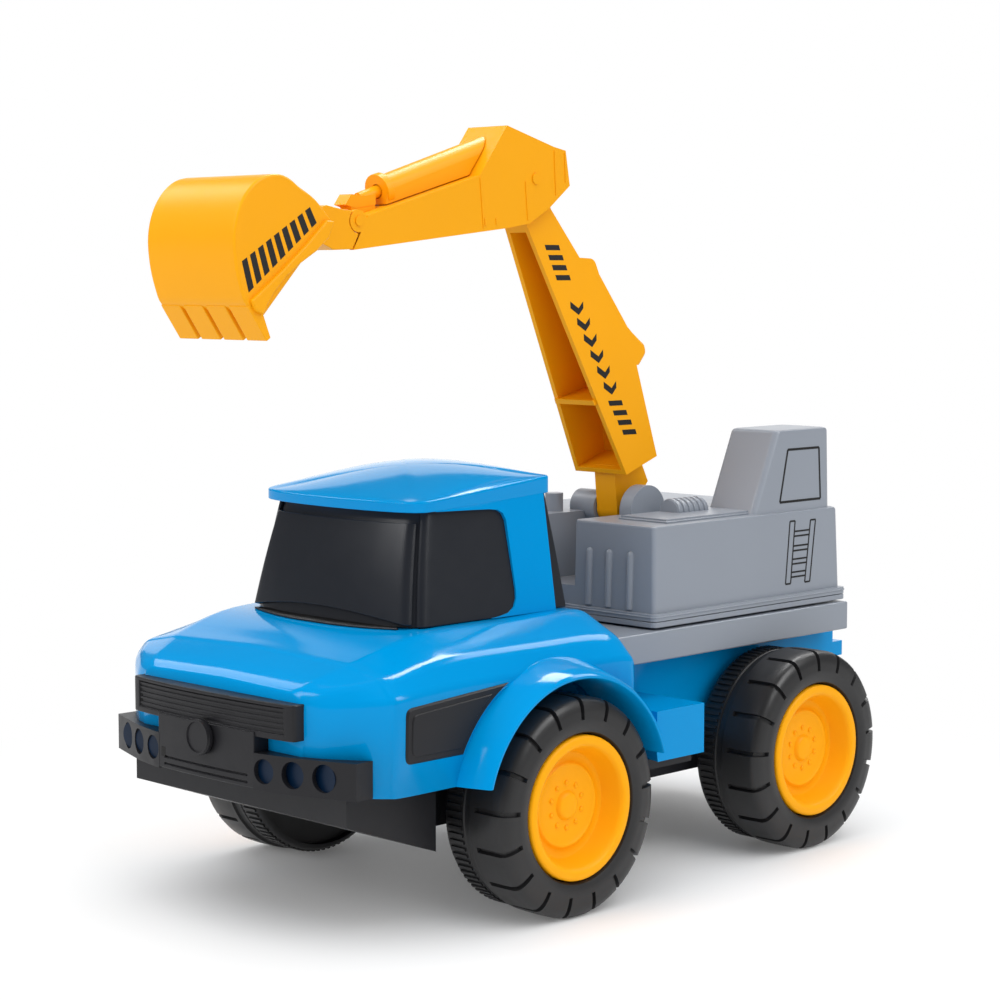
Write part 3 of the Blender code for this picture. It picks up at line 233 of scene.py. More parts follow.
RIM_PROFILE = (
    (7.4, 0), (7.4, 4.4), (7.7, 5.2), (8.4, 5.7), (9.1, 6.2), (9.2, 7), (9.2, 15.6), (8.9, 16),
    (8.7, 16.6), (8.9, 17.2), (9.6, 17.7), (10.1, 18.4), (10.2, 20.4), (9.8, 21.6), (8.6, 22.3),
    (2.6, 24.3), (1.1, 25), (0.5, 25.9), (0.4, 26.6), (0.4, 28.2), (0.6, 28.9), (1.1, 29.4),
    (1.8, 29.6), (12.5, 29.6), (12.5, 6.5), (29, 6.5), (29, 2.6), (12.5, 2.6), (12.5, 0),
)
RIM_STEPS = 96
BOLTS = 10
BOLT_RING = 9.2
BOLT_TURN = 0.5
BOLT_STEPS = 14
BOLT_PROFILE = ((10, 0), (10, 1.15), (8.8, 1.05), (8.5, 0.7), (8.45, 0))
BACK_ROUND = 0.5
FRONT_FACE_X = 96.0
REAR_FACE_X = 91.0
WHEELS = (
    ("front", "left", FRONT_AXLE, FRONT_FACE_X, 1),
    ("front", "right", FRONT_AXLE, FRONT_FACE_X, -1),
    ("rear", "left", REAR_AXLE, REAR_FACE_X, 1),
    ("rear", "right", REAR_AXLE, REAR_FACE_X, -1),
)

# Bucket, as Y and Z
BUCKET_PIVOT = (-43.5, 280.0)
BUCKET_PIN_CLEAR = 2.2
BUCKET_X = 27.0
BUCKET_WALL = 2.4
BUCKET_ROUND = 0.9
BUCKET_OUTER = (
    (-71, 279.5), (-79.5, 287.6), (-87.5, 292.2), (-93, 295.6), (-98.8, 296.8), (-106.5, 295.2),
    (-113, 290.4), (-117.8, 283), (-120.2, 273.5), (-119.6, 263), (-117.2, 253.5), (-113.8, 246.5),
    (-106, 242.5),
)
BUCKET_INNER = (
    (-75, 280), (-81.2, 285.4), (-88.7, 289.7), (-93.8, 293), (-98.8, 294.2), (-105.4, 292.9),
    (-111.2, 288.7), (-115.5, 282), (-117.7, 273.2), (-117.1, 263.3), (-114.9, 254.3),
    (-111.9, 248.5), (-107.6, 246.4),
)
BUCKET_MOUTH = ((-96.0, 236.0), (-60.0, 270.0))
CURVE_STEPS = 4
TOOTH = ((-114, 246.4), (-104.6, 232.9), (-102.6, 234.2), (-106.4, 243.8), (-111.4, 247.4))
TEETH = 4
TOOTH_GAP = 2.2
TOOTH_ROUND = 0.4
LIP = (
    (-113.2, 248.6), (-98.7, 259.4), (-86, 269.6), (-75, 279.6), (-71.2, 279), (-74.2, 272.6),
    (-80.4, 267.5), (-88.9, 262.6), (-95.9, 257.6), (-101.5, 252.1), (-105.6, 246.8),
    (-107.4, 243.2), (-111, 244.6),
)
LIP_X = (25.8, 28.8)
LIP_ROUND = 0.6
NECK_X = 11.9
NECK = (
    (-76, 283.5), (-60.5, 286), (-52.5, 284.6), (-46.5, 284), (-47.8, 282.5), (-48.5, 280),
    (-48.2, 278.3), (-47.3, 276.8), (-46, 275.7), (-44.5, 275.1), (-43.4, 274.9), (-46.9, 268.6),
    (-57, 268.2), (-76, 276.5),
)
TONGUE_X = 9.05
TONGUE_R = 4.25
TONGUE_STEPS = 32
BORE_STEPS = 24
TONGUE = ((-54.0, 283.6), (-43.5, 284.2), (-43.5, 275.8), (-54.0, 272.5))

# Boom and stick surfaces that carry marks, as Y and Z
BOOM_AXIS = ((126.0, 171.7), (66.0, 282.0))
BOOM_HALF_LOW = 15.9
BOOM_HALF_HIGH = 7.0
NODE_CORNERS = {
    "boom": ((100.3, 265.5), (121.3, 233.0), (131.9, 227.3), (133.0, 222.7), (127.7, 216.9)),
}
BAR_SIZE = (8.7, 2.3)
BAR_LEAN = 0.8
BAR_COUNT = 4
BAR_LOW = ((105.4, 201.8), (113.6, 188.4))
BAR_HIGH = ((69.6, 271.4), (75.4, 258.2))
CHEVRON_FROM = (84.0, 246.5)
CHEVRON_TO = (103.0, 210.5)
CHEVRONS = 6
CHEVRON_SIZE = (8.0, 3.0)
CHEVRON_SHIFT = 1.0
STICK_X = 11.9
STICK_LINES = (
    ((25.6, 299.2), (27.6, 278), 0.5), ((53.2, 298.5), (54.8, 281.9), 0.6),
    ((71.2, 312.4), (72.3, 293), 0.4), ((77.8, 311.6), (78.4, 298.6), 0.4),
    ((28.6, 282.2), (29, 279.2), 1), ((35.3, 282.3), (35.6, 279.6), 1),
)
STICK_RIDGE_H = 0.35
STICK_PIVOT = (59.7, 299.8)
ROD_FOOT = (
    (-42.9, 286.9), (-40.2, 286), (-39.4, 283.4), (-38.2, 282.2), (-26.6, 285.3), (-26.6, 288),
    (-40, 288),
)
ROD_FOOT_X = 3.4
STICK_BOSS = ((0.0, 3.0), (0.7, 3.0), (1.1, 2.4), (1.1, 0.0))
BOSS_STEPS = 32
STRIPE_TOP = ((-116.6, 263.4), (-81.0, 285.4))
STRIPE_LOW = ((-113.4, 251.6), (-77.6, 279.6))
STRIPES = 9
STRIPE_SHARE = 0.62

# Turret marks and mouldings
HOUSING_SIDE = ((108.45, 59.8), (148.2, 58.6))
HOUSING_FRONT = ((108.45, 84.2), (148.2, 85.4))
OPCAB_SIDE = ((149.6, 57.1), (187.2, 56.5))
LADDER_RAILS = (((176.6, 116.2), (180.6, 145.0)), ((191.0, 116.0), (196.0, 144.6)))
LADDER_W = 3.8
LADDER_RUNGS = (139.0, 132.3, 126.2, 120.2)
RUNG_HALF = 1.1
INK_W = 0.8
SEAT_INK_W = 1.12
SEAT_WINDOW = ((181.0, 178.0), (204.5, 178.0), (205.5, 154.0), (175.0, 154.0))
FRONT_RIB_X = (21.3, 33.0, 45.5)
FRONT_RIB = ((112.4, 1.7), (125, 1.7), (136.2, 1.7), (137.2, 1.3), (137.8, 0.4))
DRUM_X = 32.0
DRUM_Z = 151.3
DRUM_RIBS = (126.4, 130.0, 133.6, 137.2, 140.8, 144.4)
DRUM_R = 6.1
DRUM_RIB_W = 2.0
DRUM_STEPS = 28
DRUM_ROUND = 0.5
PAD_EDGE = (25.2, 53.8, 99.2, 157.0)
PAD_Z = (149.4, 150.5)
PAD_ROUND = 0.4
FLANGE_RIB_Z = (109.9, 110.6)
FLANGE_RIB_ROUND = 0.25
FLANGE_HALF = (62.35, 69.35)
FLANGE_ROUND = 3.3
FLANGE_STEPS = 6
SWIVEL_Y = 151.0

# Side vents, as Y and Z
BODY_SIDE_X = 81.0
VENT_LEFT = ((-83.4, 72.6), (-83.0, 94.2))
VENT_TOP_SLOPE = 0.066
VENT_MIDDLE_Y = -60.0
VENT_ROUND = 3.0
VENT_ROUND_STEPS = 4
VENT_ARC_R = 59.6
VENT_ARC_STEPS = 10
VENT_RISE = (0.9, 1.35)
VENT_INSET = 2.6
VENT_SINK = 2.0
VENT_FRAME_EDGE = 0.7
VENT_PANEL_EDGE = 0.35

# Front trim
GRILLE_LINE = (
    (0, -116), (12.5, -115.9), (25, -115.4), (37.5, -114.4), (47, -113.3), (49.6, -112.4),
    (50.2, -111),
)
GRILLE_BACK = -106.0
GRILLE_STEPS = 4
GRILLE_ROUND = 0.8
GRILLE_Z = (81.2, 95.4)
GRILLE_RECESS_X = 46.4
GRILLE_RECESS_Z = (83.6, 94.0)
GRILLE_RECESS_IN = 0.9
GRILLE_RECESS_OUT = 5.0
GRILLE_BARS = (84.6, 86.7, 88.8, 90.9, 92.6)
GRILLE_BAR_H = 1.0
GRILLE_BAR_PROUD = -0.45
GRILLE_BAR_IN = 2.5
GRILLE_BAR_ROUND = 0.2
CENTRE_LINE = ((0.0, -116.6), (15.0, -116.4), (30.0, -115.6))
CENTRE_Z = (61.0, 83.0)
CENTRE_STEPS = 6
CENTRE_ROUND = 0.4
GROOVES = (62.6, 65.4)
GROOVE_H = 0.7
GROOVE_IN = 0.8
GROOVE_OUT = 3.0
GROOVE_HALF = 27.0
CLIPS = ((-45.2, -111.3, 86.4), (-26.6, -114.3, 67.6))
CLIP_HALF = (1.2, 1.6, 1.9)
WING_FRONT = (
    (29.6, -115.7), (34, -115.2), (47.4, -112.2), (60.5, -107.7), (70, -104.4), (74.5, -102.7),
)
WING_BACK = ((74.2, -93.6), (66, -96), (56, -103), (45, -106.4), (29.6, -107))
WING_Z = (60.5, 75.0)
WING_ROUND = 1.0
# Thickness of the dark discs that paint the shade inside the lamp holes
LAMP_SHADE_DISC_T = 0.8
LAMPS = ((34.6, 8.0, 4.9), (47.5, 18.0, 5.3), (60.8, 21.0, 5.5))
LAMP_Z = 68.2
LAMP_FACE_Y = -113.0
LAMP_FACE_SLOPE = 0.28
LAMP_STEPS = 32
LAMP_REACH = (-122.0, -100.0)
LAMP_DEPTH = -0.5
BADGE_Z = 77.6
BADGE_Y = -119.6
BADGE_R = (5.9, 7.2)
BADGE_RISE = 0.5
BADGE_EDGE = 0.2
BADGE_STEPS = 48

# Lights: place in metres, then spread and strength or size and power
WORLD_LIGHT = 0.55
WORLD_SHEEN = 0.12
WORLD_SEEN = 1.0
SHEEN_AIM = (0.0, 0.0, 0.1)
FLOOR_FADE = {"From Min": 0.1, "From Max": 0.38, "To Min": 0.08, "To Max": 1.0}
WIDE_LIGHTS = (
    ("top_light", (0.1, -0.1, 2.0), 70.0, 1.6), ("key_light", (1.6, 0.0, 1.3), 50.0, 0.8),
    ("front_light", (-0.4, -1.7, 0.8), 35.0, 0.8),
)
SHEEN_BOXES = (
    ("back_sheen", (-1.1, 1.15, 0.55), (2.0, 0.8), 6.0),
    ("key_sheen", (1.3, 0.5, 1.0), (0.5, 0.8), 16.0),
    ("front_sheen", (-0.5, -1.4, 1.1), (0.7, 0.5), 12.0),
    ("top_sheen", (-0.25, 0.6, 1.25), (0.5, 0.4), 16.0),
    ("left_sheen", (-1.4, -0.2, 1.35), (0.6, 0.6), 6.0),
    ("rear_sheen", (0.15, 1.35, 1.35), (0.6, 0.6), 10.0),
)

# Ink and trim lie this far above a surface
LIFT = 0.08

# Rounding of edges and corners, and the merging of CAD faces, whose reaches are in metres
ROUND = 0.7
THIN_ROUND = 0.3
ROUND_STEPS = 3
ROUND_FROM_DEG = 32.0
CORNER_REACH = 0.0004
CORNER_ROUND = 2.4
CORNER_SEGMENTS = 4
SETBACK_SHARE = 0.45
WELD_REACH = 0.00002
FLAT_DEG = 0.4

# Edges that bend more than this stay sharp
SHARP_DEG = 35.0
CURVED_DEG = 40.0
BODY_DEG = 50.0
ROOF_DEG = 60.0
TYRE_DEG = 38.0
VENT_DEG = 25.0

# Rods: steps round them, and how steep one is that has no side of its own
TUBE_STEPS = 12
STEEP = 0.1

# CAD nodes that keep their shape: finish, rounding of the edges, names
NODE_LOOKS = (
    ("black", 0.8, "grille_badge"), ("black", 0.6, "chassis_tray"), ("blue", 1.0, "rear_frame"),
    ("grey", 0.9, "deck"), ("grey", 0.7, "turret_base"), ("grey", 0.8, "turret_housing"),
    ("black", 0.0, "turret_retainer"),
    ("yellow", 0.6, "boom", "stick", "stick_cylinder", "stick_rod"),
    ("yellow", 0.0, "stick_pin", "bucket_pin"),
    ("steel", 0.0, "boom_pin", "retainer_screw"),
    ("steel", 0.0, "tray_screw_1", "tray_screw_2", "tray_screw_3", "tray_screw_4"),
)


def at(x, y, z):
    """A point of the truck's frame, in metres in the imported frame."""
    return Vector((x, y - CENTRE_Y, z)) * MM


def between(a, b, share):
    return a + (b - a) * share


def spot_between(first, second, share):
    """A point on the line between two points."""
    return [between(a, b, share) for a, b in zip(first, second)]


def spoke(centre, r, angle):
    """A point in Y and Z, at a distance and an angle from a centre."""
    return centre[0] + r * math.cos(angle), centre[1] + r * math.sin(angle)


def both(x):
    return -x, x


def circle(radius, steps):
    angles = [2.0 * math.pi * i / steps for i in range(steps)]
    return [(radius * math.cos(a), radius * math.sin(a)) for a in angles]


def disc(centre, radius, steps):
    """A circle round a point in Y and Z."""
    return [(centre[0] + a, centre[1] + b) for a, b in circle(radius, steps)]


def spline(points, steps):
    """A smooth line through the points."""
    made = []
    for i in range(len(points) - 1):
        p0 = points[max(i - 1, 0)]
        p1, p2 = points[i], points[i + 1]
        p3 = points[min(i + 2, len(points) - 1)]
        for k in range(steps):
            made.append(tuple(bend(k / steps, *values) for values in zip(p0, p1, p2, p3)))
    made.append(tuple(points[-1]))
    return made


def bend(t, a, b, c, d):
    """A curve from b to c, led by their neighbours a and d."""
    first = (c - a) * t
    second = (2 * a - 5 * b + 4 * c - d) * t * t
    third = (3 * b - a - 3 * c + d) * t ** 3
    return 0.5 * (2 * b + first + second + third)


def mirrored(plan):
    """A closed outline from the half of it where X isn't below 0."""
    return list(plan) + [(-x, y) for x, y in reversed(plan) if x > 0]


def whole_line(half):
    """An open line from right to left, from its left half."""
    return [(-x, y) for x, y in reversed(half) if x > 0] + list(half)


def rounded(line, setbacks, steps):
    """A line with its inner corners rounded, each by its own setback."""
    made = [line[0]]
    for (a, b, c), back in zip(zip(line, line[1:], line[2:]), setbacks):
        before, after = math.dist(a, b), math.dist(b, c)
        start = spot_between(b, a, min(back, SETBACK_SHARE * before) / before)
        end = spot_between(b, c, min(back, SETBACK_SHARE * after) / after)
        for k in range(steps + 1):
            t = k / steps
            first, second, third = (1 - t) ** 2, 2 * t * (1 - t), t * t
            made.append(tuple(first * u + second * v + third * w for u, v, w in zip(start, b, end)))
    made.append(line[-1])
    return made


def put(node, values):
    """Sets sockets of a shader node."""
    for socket, value in values.items():
        node.inputs[socket].default_value = value


def noise_fac(tree, scale, detail):
    coords = tree.nodes.new("ShaderNodeTexCoord")
    noise = tree.nodes.new("ShaderNodeTexNoise")
    put(noise, {"Scale": scale, "Detail": detail})
    tree.links.new(coords.outputs["Object"], noise.inputs["Vector"])
    return noise.outputs["Fac"]


def new_material(name):
    made = bpy.data.materials.new(name)
    made.use_nodes = True
    return made, made.node_tree, made.node_tree.nodes["Principled BSDF"]


def shade(tree, shader, colour, span, noise):
    """Gives a shader a colour whose tone changes slowly over the surface."""
    tone = tree.nodes.new("ShaderNodeMix")
    tone.data_type = "RGBA"
    for socket, share in zip("AB", span):
        tone.inputs[socket].default_value = (*[min(1.0, c * share) for c in colour], 1.0)
    tree.links.new(noise_fac(tree, *noise), tone.inputs["Factor"])
    tree.links.new(tone.outputs["Result"], shader.inputs["Base Color"])


def plastic(name, colour, roughness, spread, grain, shine, metallic=0.0):
    """A moulded finish: slow changes in tone and gloss, and a fine skin."""
    made, tree, shader = new_material(name)
    put(shader, {"Specular IOR Level": shine, "Metallic": metallic})
    shade(tree, shader, colour, TONE_SPAN, TONE_NOISE)
    gloss = tree.nodes.new("ShaderNodeMapRange")
    put(gloss, {"To Min": roughness - spread, "To Max": roughness + spread})
    tree.links.new(noise_fac(tree, *GLOSS_NOISE), gloss.inputs["Value"])
    tree.links.new(gloss.outputs["Result"], shader.inputs["Roughness"])
    bump = tree.nodes.new("ShaderNodeBump")
    put(bump, {"Strength": grain, "Distance": SKIN_DEPTH})
    tree.links.new(noise_fac(tree, *SKIN_NOISE), bump.inputs["Height"])
    tree.links.new(bump.outputs["Normal"], shader.inputs["Normal"])
    return made


def show(name, data):
    """A new object in the scene."""
    made = bpy.data.objects.new(name, data)
    bpy.context.scene.collection.objects.link(made)
    return made


def piece(name, points, faces, skin, body="chassis", sharp_deg=SHARP_DEG):
    """A shown mesh that rides on a CAD body; points are millimetres in the truck's frame."""
    work = bmesh.new()
    corners = [work.verts.new(at(*p)) for p in points]
    for face in faces:
        work.faces.new([corners[i] for i in face])
    bmesh.ops.recalc_face_normals(work, faces=work.faces)
    data = bpy.data.meshes.new(name)
    work.to_mesh(data)
    work.free()
    data.materials.append(SKINS[skin])
    for face in data.polygons:
        face.use_smooth = True
    data.set_sharp_from_angle(angle=math.radians(sharp_deg))
    made = show(name, data)
    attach(made, body)
    return made


def ring_faces(rings, count, closed):
    faces = []
    for first in range(0, (rings - 1) * count, count):
        for i in range(count if closed else count - 1):
            j = (i + 1) % count
            faces.append((first + i, first + j, first + count + j, first + count + i))
    return faces


def closing_faces(rings, count):
    """Faces that join the last ring to the first."""
    last = (rings - 1) * count
    return [(last + i, last + (i + 1) % count, (i + 1) % count, i) for i in range(count)]


def loft(name, sections, skin, body="chassis", sharp_deg=SHARP_DEG):
    """A solid through closed rings of points, with flat ends."""
    count = len(sections[0])
    faces = ring_faces(len(sections), count, True)
    faces.append(tuple(range(count)))
    last = (len(sections) - 1) * count
    faces.append(tuple(range(last, last + count)))
    return piece(name, [p for ring in sections for p in ring], faces, skin, body, sharp_deg)


def along_x(outline, ends):
    """Two rings of an outline in Y and Z, one at each X."""
    return [[(x, y, z) for y, z in outline] for x in ends]


def prism(name, outline, ends, skin, body, width):
    """An outline in Y and Z, drawn out along X, with rounded edges."""
    soften(loft(name, along_x(outline, ends), skin, body), width)


def upright(name, plan, heights, skin, body="chassis", width=0.0):
    """A plan in X and Y, drawn up between two heights, with rounded edges where width isn't 0."""
    made = loft(name, [[(x, y, z) for x, y in plan] for z in heights], skin, body)
    if width > 0:
        soften(made, width)
    return made


def rectangle(x0, x1, y0, y1):
    return (x0, y0), (x1, y0), (x1, y1), (x0, y1)


def tube(name, line, radii, skin, body="chassis"):
    """A round rod along a line, with its own radius at each point."""
    sections = []
    for i, point in enumerate(line):
        before, after = line[max(i - 1, 0)], line[min(i + 1, len(line) - 1)]
        along = Vector([a - b for a, b in zip(after, before)]).normalized()
        side = along.cross(Vector((0.0, 0.0, 1.0)))
        side = side.normalized() if side.length > STEEP else Vector((1.0, 0.0, 0.0))
        up = side.cross(along)
        ring = circle(radii[i], TUBE_STEPS)
        sections.append([tuple(Vector(point) + side * a + up * b) for a, b in ring])
    return loft(name, sections, skin, body)


def turned(name, profile, centre, face_x, side, steps, skin, body):
    """A round shape about X; the profile goes inward from a face."""
    points, rings = [], []
    for inward, radius in profile:
        ring = circle(radius, steps) if radius > 0 else [(0.0, 0.0)]
        rings.append(range(len(points), len(points) + len(ring)))
        points += [(side * (face_x - inward), centre[0] + a, centre[1] + b) for a, b in ring]
    faces = []
    for first, second in zip(rings, rings[1:]):
        for i in range(steps):
            j = (i + 1) % steps
            corners = ((first, i), (first, j), (second, j), (second, i))
            faces.append(tuple(dict.fromkeys(ring[k % len(ring)] for ring, k in corners)))
    return piece(name, points, faces, skin, body, CURVED_DEG)


def soften(made, width):
    """Rounds the edges of a piece."""
    bevel = made.modifiers.new("round_edges", "BEVEL")
    bevel.width = width * MM
    bevel.segments = ROUND_STEPS
    bevel.limit_method = "ANGLE"
    bevel.angle_limit = math.radians(ROUND_FROM_DEG)
    bevel.harden_normals = False
    normals = made.modifiers.new("even_normals", "WEIGHTED_NORMAL")
    normals.keep_sharp = True


def thicken(made, thickness, offset):
    wall = made.modifiers.new("wall", "SOLIDIFY")
    wall.thickness = thickness * MM
    wall.offset = offset


def round_corners(made, places):
    """Rounds the corners of a CAD node that run along X, given in Y and Z."""
    spots = [at(0.0, y, z).yz for y, z in places]
    group = made.vertex_groups.new(name="corners")
    for corner in made.data.vertices:
        if min((corner.co.yz - spot).length for spot in spots) < CORNER_REACH:
            group.add([corner.index], 1.0, "ADD")
    bevel = made.modifiers.new("round_corners", "BEVEL")
    bevel.limit_method = "VGROUP"
    bevel.vertex_group = "corners"
    bevel.width = CORNER_ROUND * MM
    bevel.segments = CORNER_SEGMENTS


def dress(node, skin, width=0.0):
    """Gives a CAD node its finish and, where width isn't 0, rounded edges."""
    made = FRAME["nodes"][node]
    made.data.materials.clear()
    made.data.materials.append(SKINS[skin])
    for layer in [a for a in made.data.attributes if a.name == "custom_normal"]:
        made.data.attributes.remove(layer)
    for face in made.data.polygons:
        face.use_smooth = width > 0
    if width > 0:
        weld = made.modifiers.new("weld", "WELD")
        weld.merge_threshold = WELD_REACH
        flats = made.modifiers.new("merge_flats", "DECIMATE")
        flats.decimate_type = "DISSOLVE"
        flats.angle_limit = math.radians(FLAT_DEG)
        if node in NODE_CORNERS:
            round_corners(made, NODE_CORNERS[node])
        soften(made, width)


def subtract(made, other):
    """Cuts a piece out of another; the cutter itself isn't shown."""
    step = made.modifiers.new("cut_" + other.name, "BOOLEAN")
    step.operation = "DIFFERENCE"
    step.solver = "EXACT"
    step.object = other
    other.hide_render = True
    other.hide_viewport = True


def body_ring(station):
    y, side_x, side_z, mid_x, mid_z, edge_x, edge_z, crown_z = station
    half = ((side_x, BODY_LOW), (side_x, side_z), (mid_x, mid_z), (edge_x, edge_z), (0.0, crown_z))
    line = rounded(half, CORNERS, CORNER_STEPS)
    return [(x, y, z) for x, z in line] + [(-x, y, z) for x, z in reversed(line[:-1])]


def shrunk(ring, share):
    """A ring of the body, drawn in towards the middle of its lower edge."""
    return [(x * share, y, BODY_LOW + (z - BODY_LOW) * share) for x, y, z in ring]


def body_shell():
    rings = [body_ring(s) for s in spline(BODY_STATIONS, BODY_STEPS)]
    rings.insert(0, [(x, y - NOSE_ROUND, z) for x, y, z in shrunk(rings[0], NOSE_SHARE)])
    count = len(rings[0])
    faces = ring_faces(len(rings), count, False)
    faces.append(tuple(range(count)))
    points = [p for ring in rings for p in ring]
    shell = piece("body_skin", points, faces, "blue", "chassis", BODY_DEG)
    thicken(shell, BODY_WALL, -1.0)
    for side in (1, -1):
        ring = disc(FRONT_AXLE, ARCH_R, ARCH_STEPS)
        sections = along_x(ring, [side * x for x in ARCH_X])
        subtract(shell, loft(f"arch_space_{side}", sections, "blue"))
        flare(side)
    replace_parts(shell, "body_shell")


def body_back():
    """The plate that closes the body's rear end."""
    ring = shrunk(body_ring(BODY_STATIONS[-1]), BACK_PLATE_SHARE)
    sections = [[(x, y, z) for x, _, z in ring] for y in BACK_PLATE_Y]
    loft("body_back", sections, "blue")


def flare(side):
    """The rounded lip that stands out round a front wheel."""
    rise = BODY_LOW - FRONT_AXLE[1]
    sections = []
    for k in range(FLARE_STEPS + 1):
        ring = []
        for x, r in FLARE_PROFILE:
            start = math.asin(rise / r)
            angle = start + (math.pi - 2.0 * start) * k / FLARE_STEPS
            ring.append((side * x, *spoke(FRONT_AXLE, r, angle)))
        sections.append(ring)
    loft(f"wheel_flare_{side}", sections, "blue")


def roof_z(y):
    """Height of the roof's lower edge."""
    return ROOF_LOW + ROOF_RISE * (y - ROOF_Y[0]) / (ROOF_Y[1] - ROOF_Y[0])


def roof_place(x, y, height):
    """A point of the roof at a height over its lower edge; the roof gets thicker to the rear."""
    thick = 1.0 + ROOF_LEAN * (y - ROOF_MIDDLE_Y) / ROOF_HALF[1]
    return x, y, roof_z(y) + height * thick


def crown_rise(x, y, scale):
    """How high the roof's crown stands on the line from the roof's middle to a point of its edge."""
    across = abs(x) / ROOF_HALF[0]
    along = abs(y) / ROOF_HALF[1]
    reach = scale / max(across, along) / ROOF_CROWN_EDGE
    share = (1.0 - (across * reach) ** 2) * (1.0 - (along * reach) ** 2)
    return ROOF_RINGS[-1][1] + ROOF_CROWN_H * share ** ROOF_CROWN_POWER


def roof_ring(plan, scale, rises):
    """A ring of the roof, drawn in towards its middle, with a height for each point."""
    ring = []
    for (x, y), rise in zip(plan, rises):
        place = ROOF_MIDDLE_Y + (y - ROOF_MIDDLE_Y) * scale
        ring.append(roof_place(x * scale, place, rise))
    return ring


def roof():
    plan = mirrored(spline(ROOF_PLAN, PLAN_STEPS))
    sections = [roof_ring(plan, scale, [height] * len(plan)) for scale, height in ROOF_RINGS]
    for scale in ROOF_CROWN:
        rises = [crown_rise(x, y - ROOF_MIDDLE_Y, scale) for x, y in plan]
        sections.append(roof_ring(plan, scale, rises))
    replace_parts(loft("roof_skin", sections, "blue", "chassis", ROOF_DEG), "cab_frame")
    for side in (1, -1):
        pillar(side)


def roof_x(y):
    """Half the roof's width at a place along its side."""
    edge = [p for p in spline(ROOF_PLAN, PLAN_STEPS) if p[0] > ROOF_SIDE_X]
    for (x0, y0), (x1, y1) in zip(edge, edge[1:]):
        if y0 <= y <= y1:
            return between(x0, x1, (y - y0) / (y1 - y0))
    return edge[-1][0]


def pillar(side):
    """The blue panel behind a side window, flush with the roof's edge."""
    rear = slope_x(PILLAR_REAR)
    sections = []
    for z, front in PILLAR_FRONT:
        outer = []
        for k in range(PILLAR_COLUMNS + 1):
            y = between(front, rear(0.0, z), k / PILLAR_COLUMNS)
            share = min(1.0, (z - CAB_FLOOR) / (roof_z(y) - CAB_FLOOR))
            outer.append((between(PILLAR_LOW_X, roof_x(y) - LIFT, share), y))
        ring = outer + [(x - PILLAR_T, y) for x, y in reversed(outer)]
        sections.append([(side * x, y, z) for x, y in ring])
    loft(f"cab_pillar_{side}", sections, "blue", "chassis", CURVED_DEG)


def rear_window():
    """The black panel across the cab's back, between the pillars."""
    sections = []
    for z, half, y in REAR_WINDOW:
        front = y - REAR_WINDOW_T
        ring = [(half, front), (half, y - REAR_WINDOW_ROUND), (half - REAR_WINDOW_ROUND, y)]
        sections.append([(x, back, z) for x, back in mirrored(ring)])
    soften(loft("rear_window", sections, "window"), ROUND)


def glass_point(low, top, share, sink):
    """A point of the cab's dark skin, given its ends below and above."""
    x, y = spot_between(low, top, share)
    z = between(CAB_FLOOR, roof_z(y) - GLASS_GAP, share)
    bow = GLASS_BULGE * math.sin(math.pi * share) * max(0.0, (BULGE_FROM_Y - low[1]) / BULGE_OVER)
    inward = math.copysign(min(sink, abs(x)), x)
    return x - inward, y - bow + math.copysign(sink, GLASS_MIDDLE_Y - y), z


def windows():
    rings = []
    for row in range(GLASS_ROWS + 1):
        ends = zip(mirrored(GLASS_LOW), mirrored(GLASS_TOP))
        rings.append([glass_point(low, top, row / GLASS_ROWS, GLASS_SINK) for low, top in ends])
    made = loft("window_skin", rings, "window", "chassis", CURVED_DEG)
    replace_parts(made, "window_insert")
    glass_panel("windscreen", whole_line(SCREEN_LOW), whole_line(SCREEN_TOP), SCREEN_SHARES)
    for side in (1, -1):
        low = [(side * x, y) for x, y in SIDE_LOW]
        top = [(side * x, y) for x, y in SIDE_TOP]
        glass_panel(f"side_window_{side}", low, top, SIDE_SHARES)
    cowl()


def glass_panel(name, low, top, shares):
    """A pane that stands a little out of the dark skin, its lower edge arched over the middle."""
    half = max(abs(x) for x, y in low)
    columns = list(zip(spline(low, PLAN_STEPS), spline(top, PLAN_STEPS)))
    points = []
    for first, last in columns:
        start = between(shares[0], shares[1], 1.0 - (first[0] / half) ** 2)
        for row in range(GLASS_ROWS + 1):
            share = between(start, shares[2], row / GLASS_ROWS)
            points.append(glass_point(first, last, share, 0.0))
    faces = ring_faces(len(columns), GLASS_ROWS + 1, False)
    made = piece(name, points, faces, "window", "chassis", CURVED_DEG)
    thicken(made, PANEL_T, 0.0)
    soften(made, PANEL_ROUND)


def hood_z(x, y):
    """Height of the bonnet at a place."""
    stations = spline(BODY_STATIONS, BODY_STEPS)
    for first, second in zip(stations, stations[1:]):
        if first[0] <= y <= second[0]:
            share = (y - first[0]) / (second[0] - first[0])
            edge_x, edge_z, crown = spot_between(first[CROWN], second[CROWN], share)
            return crown - (crown - edge_z) * abs(x) / edge_x
    return stations[-1][-1]


def cowl_front(x):
    return between(COWL_BACK, COWL_FRONT, 1.0 - (x / COWL_HALF) ** 2)


def cowl():
    """The dark lens in front of the windscreen and its thin raised lip."""
    across = [COWL_HALF * (2.0 * k / COWL_COLUMNS - 1.0) for k in range(COWL_COLUMNS + 1)]
    points = []
    for x in across:
        for share in COWL_SHARES:
            y = between(COWL_BACK, cowl_front(x), share)
            points.append((x, y, hood_z(x, y) + COWL_LIFT))
    faces = ring_faces(len(across), len(COWL_SHARES), False)
    thicken(piece("cowl_lens", points, faces, "ink"), COWL_T, 0.0)
    line = [(x, cowl_front(x), hood_z(x, cowl_front(x)) + COWL_LIFT) for x in across]
    tube("cowl_lip", line, [COWL_LIP_R] * len(line), "window")


